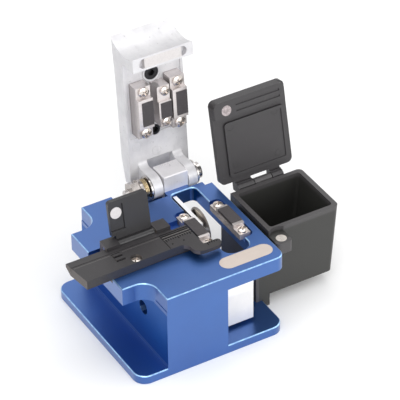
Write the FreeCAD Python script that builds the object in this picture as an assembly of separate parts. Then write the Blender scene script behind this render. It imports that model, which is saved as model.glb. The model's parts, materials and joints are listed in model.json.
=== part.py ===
"""Bench fibre cleaver: anodised body, lever with sprung clamps, sliding blade, fibre holder and scrap box.

Millimetres. X points right, Y back, Z up. The origin is the centre of the base plate's underside.
The lever, the scrap-box lid and the holder flap are drawn shut and then swung open about their hinge pins.
"""
import FreeCAD, Part
import math
import os

Vector = FreeCAD.Vector

# ---------------------------------------------------------------- body
BODY_WIDTH = 63.0
BODY_DEPTH = 65.4
BODY_RIGHT = BODY_WIDTH / 2
BODY_BACK = BODY_DEPTH / 2
BASE_THICK = 3.6
BASE_CORNER = 5.0
PLATE_TOP = 36.4
PLATE_THICK = 6.2
PLATE_LEFT_THICK = 7.5
PLATE_CORNER = 3.5
PLATE_LEFT_INSET = 1.2
PLATE_LEFT = PLATE_LEFT_INSET - BODY_RIGHT
PLATE_UNDER = PLATE_TOP - PLATE_THICK
EDGE_BEVEL = 0.35
SIDE_NOTCH_DEPTH = 11.2
FRONT_NOTCH_LENGTH = 13.5
BACK_NOTCH_LENGTH = 12.6
NOTCH_FILLET = 6.0
HINGE_NOTCH_DEPTH = 11.0
HINGE_LEDGE_DROP = 4.4
BACK_STEP_DEPTH = 11.9
BACK_STEP_WIDTH = 3.0

# ---------------------------------------------------------------- slot and strike plate
SLOT_WIDTH = 11.1
SLOT_RIGHT_WALL = 7.3
SLOT_FRONT_WALL = 11.1
SLOT_BACK_WALL = 10.9
SLOT_RIGHT = BODY_RIGHT - SLOT_RIGHT_WALL
SLOT_LEFT = SLOT_RIGHT - SLOT_WIDTH
SLOT_FRONT = SLOT_FRONT_WALL - BODY_BACK
SLOT_BACK = BODY_BACK - SLOT_BACK_WALL
SLOT_FRONT_RADIUS = 4.0
SLOT_BACK_RADIUS = 2.2
STRIKE_LENGTH = 22.0
STRIKE_WIDTH = 6.8
STRIKE_THICK = 2.0
STRIKE_EDGE_WALL = 3.7
STRIKE_X = (SLOT_LEFT + SLOT_RIGHT) / 2
STRIKE_Y = STRIKE_EDGE_WALL + STRIKE_WIDTH / 2 - BODY_BACK
STRIKE_GAP = 0.05

# ---------------------------------------------------------------- web
WEB_TO_SLOT = 6.5
WEB_LEFT_OVERHANG = 12.2
WEB_RIGHT = SLOT_LEFT - WEB_TO_SLOT
WEB_LEFT = WEB_LEFT_OVERHANG - BODY_RIGHT
WEB_HOLE_RADIUS = 2.9
WEB_HOLE_FROM_FRONT = 18.1
WEB_HOLE_RISE = 16.8
WEB_HOLE_DEPTH = 6.0

# ---------------------------------------------------------------- lever hinge
HINGE_FROM_BACK = 4.1
HINGE_RISE = 1.4
HINGE_Y = BODY_BACK - HINGE_FROM_BACK
HINGE_Z = PLATE_TOP + HINGE_RISE
HINGE_BOLT_RADIUS = 2.0
HINGE_RUNNING_GAP = 0.05
BLOCK_OVERLAP = 0.7
BLOCK_WIDTH = 10.4
BLOCK_LEFT = SLOT_LEFT - BLOCK_OVERLAP
BLOCK_RIGHT = BLOCK_LEFT + BLOCK_WIDTH
BLOCK_HALF_DEPTH = 4.4
BLOCK_RISE = 5.4
BLOCK_SEAT_DROP = 3.6
BLOCK_TOP = HINGE_Z + BLOCK_RISE
BLOCK_SEAT = PLATE_TOP - BLOCK_SEAT_DROP
BLOCK_LIP = 1.3
NOTCH_REACH = 18.7
EAR_SIDE_GAP = 0.6
EAR_GAP = 0.25
EAR_THICK = 3.9
EAR_RADIUS = 5.0
EAR_ROOT_FILLET = 2.5
BOLT_HEAD_RADIUS = 3.2
BOLT_HEAD_LENGTH = 2.2
BOLT_SOCKET_FLATS = 2.5
WASHER_RADIUS = 4.8
WASHER_THICK = 0.6
SPRING_RING_RADIUS = 4.1
SPRING_RING_WIDTH = 2.6
FLANGE_RADIUS = 4.5
FLANGE_THICK = 1.2
NUT_FLATS = 7.8
NUT_LENGTH = 3.4
BOLT_END_LENGTH = 2.2

# ---------------------------------------------------------------- clamps
FIBRE_Y = -2.8
FIBRE_RISE = 2.1
CLAMP_PLANE = PLATE_TOP + FIBRE_RISE
CLAMP_GAP = 0.2
CLAMP_WIDTH = 4.6
CLAMP_LEFT_WALL = 2.5
CLAMP_RIGHT_WALL = 1.2
CLAMP_LEFT_X = SLOT_LEFT - CLAMP_LEFT_WALL
CLAMP_RIGHT_X = SLOT_RIGHT + CLAMP_RIGHT_WALL
CLAMP_LENGTH = 22.0
RECESS_DEPTH = 2.3
RECESS_FLOOR = PLATE_TOP - RECESS_DEPTH
RECESS_LEFT_GAP = 0.4
RECESS_RIGHT_GAP = 0.8
RECESS_FRONT_GAP = 1.8
RECESS_BACK_GAP = 2.3
RECESS_RADIUS = 2.4
PAD_LENGTH = 10.2
PAD_PROUD = 0.6
PAD_SEAT = 0.8
PAD_BAR = 1.3
PAD_BAR_DROP = 0.3
CLAMP_STEP_DROP = 1.9
CLAMP_SCREW_RADIUS = 1.75
CLAMP_SCREW_HEAD = 1.3
CLAMP_SCREW_INSET = 2.0
CLAMP_SCREW_REACH = CLAMP_LENGTH / 2 - CLAMP_SCREW_INSET
UPPER_FLOAT = 0.8
UPPER_BACK = 8.2
UPPER_LEFT_WALL = 1.5
UPPER_RIGHT_WALL = 0.1
UPPER_STEP_DROP = 2.0
UPPER_SCREW_RADIUS = 2.0
POCKET_GAP = 0.1
POCKET_SPARE = 0.4

# ---------------------------------------------------------------- lever, measured shut from the hinge axis
LEVER_OPEN_ANGLE = 94.3
LEVER_WIDTH = 25.7
LEVER_RIGHT_INSET = 1.5
LEVER_RIGHT = BODY_RIGHT - LEVER_RIGHT_INSET
LEVER_LEFT = LEVER_RIGHT - LEVER_WIDTH
LEVER_UNDER = 7.4
LEVER_TOP = 14.2
LEVER_HEEL = -2.0
LEVER_HEEL_TOP = 12.2
LEVER_HEEL_RUN = 8.0
LEVER_CROWN = 0.4
HOOK_FRONT_GAP = 3.5
HOOK_THICK = 5.7
HOOK_OUTER = HINGE_Y + BODY_BACK - HOOK_FRONT_GAP
HOOK_INNER = HOOK_OUTER - HOOK_THICK
HOOK_FACE = STRIKE_GAP - HINGE_RISE
LEVER_OVERHANG = 2.5
LEVER_TIP = HOOK_OUTER + LEVER_OVERHANG
LEVER_TIP_TOP = 15.6
LEVER_RISE_RUN = 18.3
THUMB_DEPTH = 1.6
LEVER_EDGE_FILLET = 0.8
HINGE_RELIEF_RADIUS = 10.4
UNDER_RECESS = 0.5
UNDER_RECESS_SIDE = 1.1
UNDER_RECESS_NEAR = 13.2
UNDER_RECESS_FAR = 4.2
UNDER_FLOOR = LEVER_UNDER + UNDER_RECESS
MAGNET_LENGTH = 15.8
MAGNET_WIDTH = 4.2
MAGNET_THICK = 2.0
MAGNET_SLOT_LENGTH = 20.4
MAGNET_SLOT_DEPTH = 2.0
LEVER_SCREW_RADII = (2.2, 2.9)
LEVER_SCREW_INSET = 12.2
LEVER_SCREW_X = LEVER_LEFT + LEVER_SCREW_INSET
LEVER_SCREW_OFFSETS = (-12.3, 12.9)
LEVER_SCREW_DEPTH = 3.0
LEVER_SCREW_SINK = 0.3
LEVER_SCREW_FLATS = 2.5
LEVER_SOCKET_DEPTH = 1.8

# ---------------------------------------------------------------- slider, rail and blade
SLIDER_STROKE = 16.5
RAIL_HEIGHT = 5.0
RAIL_DEPTH = 3.0
RAIL_RISE = 8.9
RAIL_Z = BASE_THICK + RAIL_RISE
RAIL_FRONT_INSET = 10.7
RAIL_BACK_INSET = 5.7
RAIL_FRONT = RAIL_FRONT_INSET - BODY_BACK
RAIL_BACK = BODY_BACK - RAIL_BACK_INSET
RAIL_GROOVE = 0.7
RAIL_END_ROOM = 0.5
TRUCK_LENGTH = 16.0
TRUCK_HEIGHT = 9.0
TRUCK_DEPTH = 4.6
TRUCK_LAP = 1.6
RAIL_GAP = 0.05
SLIDER_FRONT_INSET = 8.1
SLIDER_LENGTH = 36.6
SLIDER_FRONT = SLIDER_FRONT_INSET - BODY_BACK
SLIDER_BACK = SLIDER_FRONT + SLIDER_LENGTH
SLIDER_WIDTH = 9.8
SLIDER_GROUND = 1.5
SLIDER_BED_HEIGHT = 15.9
SLIDER_HEADROOM = 0.8
SLIDER_NOSE_THICK = 7.0
SLIDER_SKIRT = 2.2
SLIDER_SKIRT_GAP = 0.3
SLIDER_BOTTOM = BASE_THICK + SLIDER_GROUND
SLIDER_BED_TOP = SLIDER_BOTTOM + SLIDER_BED_HEIGHT
SLIDER_NOSE_TOP = PLATE_UNDER - SLIDER_HEADROOM
ARM_SIDE_GAP = 1.3
ARM_LEFT = SLOT_LEFT + ARM_SIDE_GAP
ARM_THICK = 1.6
ARM_BACK_GAP = 0.4
ARM_BACK = SLOT_BACK - ARM_BACK_GAP
ARM_LENGTH = 20.0
ARM_DROP = 1.2
ARM_TOP = PLATE_TOP - ARM_DROP
ARM_BOSS_RADIUS = 3.4
ARM_BOSS_LENGTH = 0.8
BLADE_THICK = 0.8
BLADE_SIDE_GAP = 0.04
BLADE_X = ARM_LEFT + ARM_THICK + ARM_BOSS_LENGTH + BLADE_THICK / 2
BLADE_RADIUS = 8.0
BLADE_EDGE = 0.9
BLADE_BEHIND_FIBRE = 8.1
BLADE_UNDER_FIBRE = 0.1
BLADE_Y = FIBRE_Y + BLADE_BEHIND_FIBRE
BLADE_PIN_RADIUS = 1.5
BLADE_SCREW_RADIUS = 2.4
BLADE_SCREW_HEAD = 1.4
BLADE_SLOT_WIDTH = 0.7
BLADE_SLOT_DEPTH = 0.6

# ---------------------------------------------------------------- anvil on the lever
ANVIL_WIDTH = 4.5
ANVIL_BLADE_GAP = 0.9
ANVIL_LEFT = BLADE_X - ANVIL_BLADE_GAP
ANVIL_RIGHT = ANVIL_LEFT + ANVIL_WIDTH
ANVIL_CHEEK_THICK = 0.8
ANVIL_NEAR = -8.6
ANVIL_FAR = 9.2
ANVIL_FACE = 2.2
ANVIL_PAD_NEAR = -4.2
ANVIL_PAD_LENGTH = 6.6
ANVIL_LIP = 0.6
ANVIL_CHEEK_SLANT = 3.6
ANVIL_SCREW_INSET = 2.1

# ---------------------------------------------------------------- fibre holder
HOLDER_RISE = 3.8
HOLDER_TOP = PLATE_TOP + HOLDER_RISE
HOLDER_FLOAT = 0.1
HOLDER_OVERHANG_BOTTOM = PLATE_TOP + HOLDER_FLOAT
HOLDER_CLAMP_GAP = 0.2
HOLDER_RIGHT = CLAMP_LEFT_X - CLAMP_WIDTH / 2 - UPPER_LEFT_WALL - HOLDER_CLAMP_GAP
HOLDER_OVERHANG = 11.4
HOLDER_END_SKEW = 1.7
HOLDER_LEFT = -BODY_RIGHT - HOLDER_OVERHANG
HOLDER_FRONT_REACH = 10.0
HOLDER_BACK_REACH = 3.4
HOLDER_CORNER_REACH = 1.0
HOLDER_FRONT = FIBRE_Y - HOLDER_FRONT_REACH
HOLDER_TAPER = 1.0
SEAT_FRONT = HOLDER_FRONT + HOLDER_TAPER
HOLDER_BEVEL_WIDTH = 2.9
HOLDER_BEVEL_RISE = 2.4
HOLDER_BACK = FIBRE_Y + HOLDER_BACK_REACH
HOLDER_RIGHT_BACK = FIBRE_Y + HOLDER_CORNER_REACH
CHANNEL_DEPTH = 2.0
CHANNEL_FLOOR = PLATE_TOP - CHANNEL_DEPTH
CHANNEL_FRONT_GAP = 0.2
CHANNEL_BACK_GAP = 6.1
TIP_THICK = 1.6
TIP_OVERHANG = 6.5
TIP_NECK_INSET = 5.1
TIP_REACH = 7.1
TIP_WIDTH = 3.9
TIP_RIGHT = HOLDER_RIGHT + TIP_OVERHANG
TIP_NECK = HOLDER_RIGHT - TIP_NECK_INSET
TIP_FRONT = SEAT_FRONT - TIP_REACH
TIP_BACK = TIP_FRONT + TIP_WIDTH
TIP_NECK_FILLET = 3.4
TIP_FRONT_FILLET = 3.6
TIP_END_FILLET = 2.4
GROOVE_WIDTH = 0.5
RULER_GROOVE_OFFSETS = (-1.3, -2.7)
POST_RISE = 1.4
POST_BACK_REACH = 7.4
POST_FRONT_REACH = 1.8
POST_BACK = FIBRE_Y + POST_BACK_REACH
POST_FRONT = FIBRE_Y + POST_FRONT_REACH
LEFT_POST_WIDTH = 5.8
RIGHT_POST_WIDTH = 5.8
RIGHT_POST_FROM_END = 6.0
RIGHT_POST_RIGHT = HOLDER_RIGHT - RIGHT_POST_FROM_END
HOLDER_SCREW_FROM_POST = 1.6
HOLDER_SCREW_REACH = 6.9
HOLDER_SCREW_Y = FIBRE_Y - HOLDER_SCREW_REACH
HOLDER_SCREW_RADIUS = 1.9
HOLDER_SCREW_SINK = 0.6
HOLDER_SCREW_GAP = 0.3
RIDGE_LENGTH = 3.6
RIDGE_WIDTH = 1.2
RIDGE_RISE = 0.5
RIDGE_PITCH = 2.4
RIDGE_COUNT = 2
RIDGE_FROM_FIBRE = 1.4
RIDGE_INSET = 0.4

# ---------------------------------------------------------------- holder flap
BARREL_BAY = 15.4
FLAP_PIN_BACK = 4.3
FLAP_PIN_DROP = 0.3
FLAP_PIN_Y = FIBRE_Y + FLAP_PIN_BACK
FLAP_PIN_Z = HOLDER_TOP - FLAP_PIN_DROP
FLAP_PIN_RADIUS = 0.8
FLAP_BARREL_RADIUS = 1.5
FLAP_OPEN_ANGLE = 101.0
FLAP_SIDE_GAP = 0.2
FLAP_LEFT_LAP = 1.6
FLAP_WIDTH = 16.4
FLAP_LENGTH = 17.3
FLAP_THICK = 2.0
FLAP_SEAT_GAP = 0.3
FLAP_CORNER = 1.2
FLAP_STRIP_WIDTH = 5.8
FLAP_STRIP_LENGTH = 10.4
FLAP_STRIP_FRONT = 1.8
FLAP_RECESS = 0.5
FLAP_MAGNET_RADIUS = 2.3
FLAP_MAGNET_THICK = 1.0
FLAP_MAGNET_SINK = 0.2
FLAP_MAGNET_REACH = 12.1

# ---------------------------------------------------------------- scrap box
BOX_GAP = 2.6
BOX_WIDTH = 31.5
BOX_LEFT = BODY_RIGHT + BOX_GAP
BOX_RIGHT = BOX_LEFT + BOX_WIDTH
BOX_RIGHT_DRAFT = 2.6
BOX_FRONT_REACH = 13.6
BOX_DEPTH = 27.9
BOX_FRONT = FIBRE_Y - BOX_FRONT_REACH
BOX_BACK = BOX_FRONT + BOX_DEPTH
BOX_RIM_DROP = 0.7
BOX_GROUND = 2.0
BOX_RIM = PLATE_TOP - BOX_RIM_DROP
BOX_BOTTOM = BASE_THICK + BOX_GROUND
BOX_WALL = 1.9
BOX_FLOOR = 1.6
BOX_CORNER = 2.0
TONGUE_PLUG = 2.9
TONGUE_INSET = 2.2
LEG_THICK = 3.0
LEG_INSET = 0.2
LEG_LENGTH = 7.0
LEG_GROUND = 0.2
BOSS_WIDTH = 6.8
BOSS_REACH = 6.6
BOSS_DROP = 2.3
BOSS_TOP = BOX_RIM - BOSS_DROP
BOSS_HEIGHT = 4.8
BOSS_RADIUS = 1.6
BOX_MAGNET_RADIUS = 2.1
RIM_CUT_GAP = 2.5
RIM_CUT_RADIUS = BOX_MAGNET_RADIUS + RIM_CUT_GAP
BOX_MAGNET_THICK = 1.5
BOX_MAGNET_SHIFT = 0.1
BOX_MAGNET_X = BOX_LEFT + BOSS_WIDTH / 2 + BOX_MAGNET_SHIFT
BOX_MAGNET_Y = BOX_FRONT - BOSS_REACH / 2 - BOX_MAGNET_SHIFT

# ---------------------------------------------------------------- scrap-box lid
LID_LEFT_LAP = 1.8
LID_RIGHT_INSET = 1.1
LID_STRIP_INSET = 1.2
LID_LEFT = BOX_LEFT - LID_LEFT_LAP
LID_RIGHT = BOX_RIGHT - LID_RIGHT_INSET
LID_REAR_INSET = 0.3
LID_REAR = BOX_BACK - LID_REAR_INSET
LID_LENGTH = 34.9
LID_THICK = 2.3
LID_SEAT_GAP = 0.1
LID_CORNER = 2.2
LID_PIN_BACK = 2.4
LID_PIN_DROP = 1.0
LID_PIN_Y = BOX_BACK + LID_PIN_BACK
LID_PIN_Z = BOX_RIM - LID_PIN_DROP
LID_PIN_RADIUS = 0.9
LID_BARREL_RADIUS = 1.7
LID_OPEN_ANGLE = 102.2
LID_KNUCKLE_INSET = 15.6
LID_KNUCKLE_X = BOX_LEFT + LID_KNUCKLE_INSET
LID_KNUCKLE_WIDTH = 7.5
LID_ARM_WIDTHS = (7.0, 4.8)
LID_KNUCKLE_GAP = 0.35
LID_STRIP_GAP = 0.35
LID_PANEL_GAP = 0.6
LID_PANEL_THICK = 0.9
LID_PANEL_RADIUS = 1.5
LID_PANEL_RIM = 1.4
LID_PANEL_SINK = 0.4
LID_GROOVE_WIDTH = 0.9
LID_GROOVE_DEPTH = 0.35
LID_GROOVE_SHARES = (0.36, 0.72)

PARTS_FOLDER = "parts"


# ================================================================ small helpers
def block(x0, x1, y0, y1, z0, z1):
    """A box between two opposite corners."""
    return Part.makeBox(x1 - x0, y1 - y0, z1 - z0, Vector(x0, y0, z0))


def rod(radius, start, end):
    """A cylinder between two points."""
    axis = end - start
    return Part.makeCylinder(radius, axis.Length, start, axis)


def rod_x(radius, x0, x1, y, z):
    """A cylinder along X."""
    return rod(radius, Vector(x0, y, z), Vector(x1, y, z))


def rod_z(radius, x, y, z0, z1):
    """A cylinder along Z."""
    return rod(radius, Vector(x, y, z0), Vector(x, y, z1))


def polygon(points):
    """A flat face inside a closed run of 3-D points."""
    return Part.Face(Part.makePolygon(list(points) + [points[0]]))


def plan_prism(points, z0, z1):
    """A prism standing on a plan outline of (x, y) points."""
    return polygon([Vector(x, y, z0) for x, y in points]).extrude(Vector(0, 0, z1 - z0))


def hexagon_prism(flats, start, axis, length):
    """A hexagonal bar of the given width across flats."""
    side = flats / math.sqrt(3.0)
    angles = [math.radians(60 * i) for i in range(6)]
    ring = [Vector(side * math.cos(a), side * math.sin(a), 0) for a in angles]
    bar = polygon(ring).extrude(Vector(0, 0, length))
    bar.Placement = FreeCAD.Placement(start, FreeCAD.Rotation(Vector(0, 0, 1), axis))
    return bar


def upright_edges(shape, corners, tolerance=0.05):
    """The vertical straight edges that stand on the given (x, y) corners."""
    found = []
    for edge in shape.Edges:
        ends = [vertex.Point for vertex in edge.Vertexes]
        if len(ends) != 2 or (ends[0] - ends[1]).cross(Vector(0, 0, 1)).Length > 1e-6:
            continue
        if any(math.hypot(ends[0].x - x, ends[0].y - y) < tolerance for x, y in corners):
            found.append(edge)
    return found


def round_corners(shape, corners, radius):
    """Round the vertical edges at the given (x, y) corners."""
    return shape.makeFillet(radius, upright_edges(shape, corners))


def rounded_block(x0, x1, y0, y1, z0, z1, radius):
    """A box with its four upright edges rounded."""
    corners = [(x0, y0), (x1, y0), (x1, y1), (x0, y1)]
    return round_corners(block(x0, x1, y0, y1, z0, z1), corners, radius)


def edges_in_plane(shape, height, tolerance=1e-4):
    """Every edge that lies in the horizontal plane at the given height."""
    return [e for e in shape.Edges
            if abs(e.BoundBox.ZMin - height) < tolerance and abs(e.BoundBox.ZMax - height) < tolerance]


def swung(shape, y, z, angle):
    """The shape turned about an X-wise pin at (y, z)."""
    turned = shape.copy()
    turned.rotate(Vector(0, y, z), Vector(1, 0, 0), angle)
    return turned


def clean(shape):
    """Merge faces that lie in one surface."""
    return shape.removeSplitter()


# ================================================================ body
def plate_outline():
    """Plan outline of the top plate, and the corners of its two side notches."""
    notch_right = PLATE_LEFT + SIDE_NOTCH_DEPTH
    step_left = BODY_RIGHT - BACK_STEP_WIDTH
    step_back = BODY_BACK - BACK_STEP_DEPTH
    hinge_front = BODY_BACK - HINGE_NOTCH_DEPTH
    block_back = HINGE_Y + BLOCK_HALF_DEPTH
    front_notch = (notch_right, FRONT_NOTCH_LENGTH - BODY_BACK)
    back_notch = (notch_right, BODY_BACK - BACK_NOTCH_LENGTH)
    points = [
        (notch_right, -BODY_BACK), (BODY_RIGHT, -BODY_BACK), (BODY_RIGHT, step_back), (step_left, step_back),
        (step_left, hinge_front + BLOCK_LIP), (BLOCK_RIGHT, hinge_front + BLOCK_LIP),
        (BLOCK_RIGHT, block_back), (BLOCK_LEFT, block_back), (BLOCK_LEFT, BODY_BACK),
        (notch_right, BODY_BACK), back_notch,
        (PLATE_LEFT, back_notch[1]), (PLATE_LEFT, front_notch[1]), front_notch,
    ]
    return points, [front_notch, back_notch]


def body():
    """One-piece I-section: base plate, web and top plate, with the slot, channel and recesses cut in."""
    base = rounded_block(-BODY_RIGHT, BODY_RIGHT, -BODY_BACK, BODY_BACK, 0, BASE_THICK, BASE_CORNER)
    base = base.makeChamfer(EDGE_BEVEL, edges_in_plane(base, BASE_THICK))
    outline, notches = plate_outline()
    plate = plan_prism(outline, PLATE_UNDER, PLATE_TOP)
    plate = round_corners(plate, notches, NOTCH_FILLET)
    plate = round_corners(plate, [(BODY_RIGHT, -BODY_BACK)], PLATE_CORNER)
    thick_left = plan_prism(outline, PLATE_TOP - PLATE_LEFT_THICK, PLATE_UNDER)
    thick_left = round_corners(thick_left, notches, NOTCH_FILLET)
    overlap = WEB_LEFT + EDGE_BEVEL
    thick_left = thick_left.common(block(PLATE_LEFT, overlap, -BODY_BACK, BODY_BACK, 0, PLATE_TOP))
    plate = plate.cut(slot_cutter())
    plate = plate.makeChamfer(EDGE_BEVEL, edges_in_plane(plate, PLATE_TOP))
    for cutter in recess_cutters() + [channel_cutter(), hinge_block_seat(), hinge_ledge()]:
        plate = plate.cut(cutter)
    web = block(WEB_LEFT, WEB_RIGHT, -BODY_BACK, BODY_BACK, BASE_THICK - EDGE_BEVEL, PLATE_UNDER)
    hole_y = WEB_HOLE_FROM_FRONT - BODY_BACK
    hole_z = BASE_THICK + WEB_HOLE_RISE
    web = web.cut(rod_x(WEB_HOLE_RADIUS, WEB_LEFT, WEB_LEFT + WEB_HOLE_DEPTH, hole_y, hole_z))
    whole = clean(base.fuse([web, thick_left, plate]))
    return whole.cut(strike_pocket())


def slot_cutter():
    """The long slot that the blade runs in."""
    slot = block(SLOT_LEFT, SLOT_RIGHT, SLOT_FRONT, SLOT_BACK, 0, PLATE_TOP + 1)
    slot = round_corners(slot, [(SLOT_LEFT, SLOT_FRONT), (SLOT_RIGHT, SLOT_FRONT)], SLOT_FRONT_RADIUS)
    return round_corners(slot, [(SLOT_LEFT, SLOT_BACK), (SLOT_RIGHT, SLOT_BACK)], SLOT_BACK_RADIUS)


def recess_cutters():
    """The two recesses beside the slot that the lower clamps stand in."""
    middle = (SLOT_LEFT + SLOT_RIGHT) / 2
    half = CLAMP_WIDTH / 2
    front = FIBRE_Y - CLAMP_LENGTH / 2 - RECESS_FRONT_GAP
    back = FIBRE_Y + CLAMP_LENGTH / 2 + RECESS_BACK_GAP
    recesses = []
    for outer in (recess_left(), CLAMP_RIGHT_X + half + RECESS_RIGHT_GAP):
        x0, x1 = min(outer, middle), max(outer, middle)
        recess = block(x0, x1, front, back, RECESS_FLOOR, PLATE_TOP + 1)
        recesses.append(round_corners(recess, [(outer, back), (outer, front)], RECESS_RADIUS))
    return recesses


def recess_left():
    """X of the left recess's outer wall."""
    return CLAMP_LEFT_X - CLAMP_WIDTH / 2 - RECESS_LEFT_GAP


def channel_cutter():
    """The shallow channel across the plate that locates the fibre holder."""
    right = recess_left() + RECESS_RADIUS
    front = SEAT_FRONT - CHANNEL_FRONT_GAP
    return block(PLATE_LEFT - 1, right, front, HOLDER_BACK + CHANNEL_BACK_GAP, CHANNEL_FLOOR, PLATE_TOP + 1)


def hinge_block_seat():
    """The step at the back of the plate that the hinge block stands on."""
    front = HINGE_Y - BLOCK_HALF_DEPTH
    back = HINGE_Y + BLOCK_HALF_DEPTH
    return block(BLOCK_LEFT, BLOCK_RIGHT + 1, front, back + 1, BLOCK_SEAT, PLATE_TOP + 1)


def hinge_ledge():
    """The lowered ledge that leaves room for the nut and washers on the left of the block."""
    front = BODY_BACK - HINGE_NOTCH_DEPTH
    low = PLATE_TOP - HINGE_LEDGE_DROP
    return block(BLOCK_LEFT - NOTCH_REACH, BLOCK_LEFT, front, BODY_BACK + 1, low, PLATE_TOP + 1)


def obround(length, width, x, y, z0, z1):
    """A flat bar along X with half-round ends."""
    half = (length - width) / 2
    bar = block(x - half, x + half, y - width / 2, y + width / 2, z0, z1)
    ends = [rod_z(width / 2, x + side * half, y, z0, z1) for side in (-1, 1)]
    return clean(bar.fuse(ends))


def strike_pocket():
    """The obround pocket for the strike plate."""
    return obround(STRIKE_LENGTH + 2 * STRIKE_GAP, STRIKE_WIDTH + 2 * STRIKE_GAP, STRIKE_X, STRIKE_Y,
                   PLATE_TOP - STRIKE_THICK, PLATE_TOP + 1)


def strike_plate():
    """Steel plate under the lever's hook, flush with the top."""
    return obround(STRIKE_LENGTH, STRIKE_WIDTH, STRIKE_X, STRIKE_Y, PLATE_TOP - STRIKE_THICK, PLATE_TOP)


# ================================================================ lever hinge
def hinge_block():
    """Bearing block between the lever's ears."""
    front = HINGE_Y - BLOCK_HALF_DEPTH
    back = HINGE_Y + BLOCK_HALF_DEPTH
    solid = block(BLOCK_LEFT, BLOCK_RIGHT, front, back, BLOCK_SEAT, BLOCK_TOP)
    solid = solid.makeChamfer(EDGE_BEVEL, edges_in_plane(solid, BLOCK_TOP))
    return solid.cut(rod_x(HINGE_BOLT_RADIUS, BLOCK_LEFT, BLOCK_RIGHT, HINGE_Y, HINGE_Z))


def ear_spans():
    """X spans of the left and right ears."""
    left_inner = BLOCK_LEFT - EAR_SIDE_GAP
    right_inner = BLOCK_RIGHT + EAR_GAP
    return (left_inner - EAR_THICK, left_inner), (right_inner, right_inner + EAR_THICK)


def hinge_stations():
    """X stations of the hardware outside the left ear, from the ear outwards."""
    ear_left = ear_spans()[0][0] - EAR_GAP
    washer = ear_left - WASHER_THICK
    ring = washer - SPRING_RING_WIDTH
    flange = ring - FLANGE_THICK
    nut = flange - NUT_LENGTH
    return ear_left, washer, ring, flange, nut


def hinge_bolt():
    """Bolt through both ears and the block, with a socket head on the right."""
    ear_right = ear_spans()[1][1] + EAR_GAP + WASHER_THICK
    end = hinge_stations()[4] - BOLT_END_LENGTH
    shank = rod_x(HINGE_BOLT_RADIUS, end, ear_right, HINGE_Y, HINGE_Z)
    head = rod_x(BOLT_HEAD_RADIUS, ear_right, ear_right + BOLT_HEAD_LENGTH, HINGE_Y, HINGE_Z)
    socket_depth = BOLT_HEAD_LENGTH / 2
    start = Vector(ear_right + BOLT_HEAD_LENGTH - socket_depth, HINGE_Y, HINGE_Z)
    socket = hexagon_prism(BOLT_SOCKET_FLATS, start, Vector(1, 0, 0), socket_depth)
    return clean(shank.fuse(head)).cut(socket)


def ring_x(outer, inner, x0, x1):
    """A ring round the hinge axis."""
    return rod_x(outer, x0, x1, HINGE_Y, HINGE_Z).cut(rod_x(inner, x0, x1, HINGE_Y, HINGE_Z))


def hinge_washer_left():
    """Flat washer against the left ear."""
    ear, washer = hinge_stations()[:2]
    return ring_x(WASHER_RADIUS, HINGE_BOLT_RADIUS, washer, ear)


def hinge_washer_right():
    """Flat washer under the bolt's head."""
    ear = ear_spans()[1][1] + EAR_GAP
    return ring_x(WASHER_RADIUS, HINGE_BOLT_RADIUS, ear, ear + WASHER_THICK)


def hinge_spring_ring():
    """Brass friction ring between the washer and the nut."""
    washer, ring = hinge_stations()[1:3]
    return ring_x(SPRING_RING_RADIUS, HINGE_BOLT_RADIUS, ring, washer)


def hinge_nut():
    """Flanged hexagon nut on the bolt's left end."""
    ring, flange, nut = hinge_stations()[2:]
    collar = rod_x(FLANGE_RADIUS, flange, ring, HINGE_Y, HINGE_Z)
    hexagon = hexagon_prism(NUT_FLATS, Vector(nut, HINGE_Y, HINGE_Z), Vector(1, 0, 0), NUT_LENGTH)
    solid = clean(collar.fuse(hexagon))
    return solid.cut(rod_x(HINGE_BOLT_RADIUS, nut, ring, HINGE_Y, HINGE_Z))


# ================================================================ lever
def shut(x, reach, height):
    """A point on the shut lever: reach forward of the hinge axis and height above it."""
    return Vector(x, HINGE_Y - reach, HINGE_Z + height)


def lever_block(x0, x1, reach0, reach1, height0, height1):
    """A box on the shut lever."""
    low = shut(x0, reach1, height0)
    high = shut(x1, reach0, height1)
    return block(low.x, high.x, low.y, high.y, low.z, high.z)


def lever_rod(radius, x, reach, height0, height1):
    """An upright cylinder on the shut lever."""
    return rod(radius, shut(x, reach, height0), shut(x, reach, height1))


def opened(shape):
    """A lever piece swung from shut to its open rest."""
    return swung(shape, HINGE_Y, HINGE_Z, -LEVER_OPEN_ANGLE)


def lever_profile():
    """Side outline of the shut lever, with the thumb hollow at the front as an arc."""
    x = LEVER_LEFT
    tip_low = shut(x, HOOK_OUTER, HOOK_FACE)
    tip_high = shut(x, LEVER_TIP, LEVER_TIP_TOP)
    middle = shut(x, HOOK_OUTER - THUMB_DEPTH / 2, (LEVER_TIP_TOP + LEVER_UNDER) / 2 - 1.5)
    run = [
        tip_high,
        shut(x, LEVER_TIP - LEVER_RISE_RUN, LEVER_TOP + LEVER_CROWN),
        shut(x, LEVER_HEEL_RUN, LEVER_TOP),
        shut(x, LEVER_HEEL, LEVER_HEEL_TOP), shut(x, LEVER_HEEL, LEVER_UNDER),
        shut(x, HOOK_INNER, LEVER_UNDER), shut(x, HOOK_INNER, HOOK_FACE), tip_low,
    ]
    edges = [Part.LineSegment(a, b).toShape() for a, b in zip(run[:-1], run[1:])]
    edges.append(Part.Arc(tip_low, middle, tip_high).toShape())
    return Part.Face(Part.Wire(edges))


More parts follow.
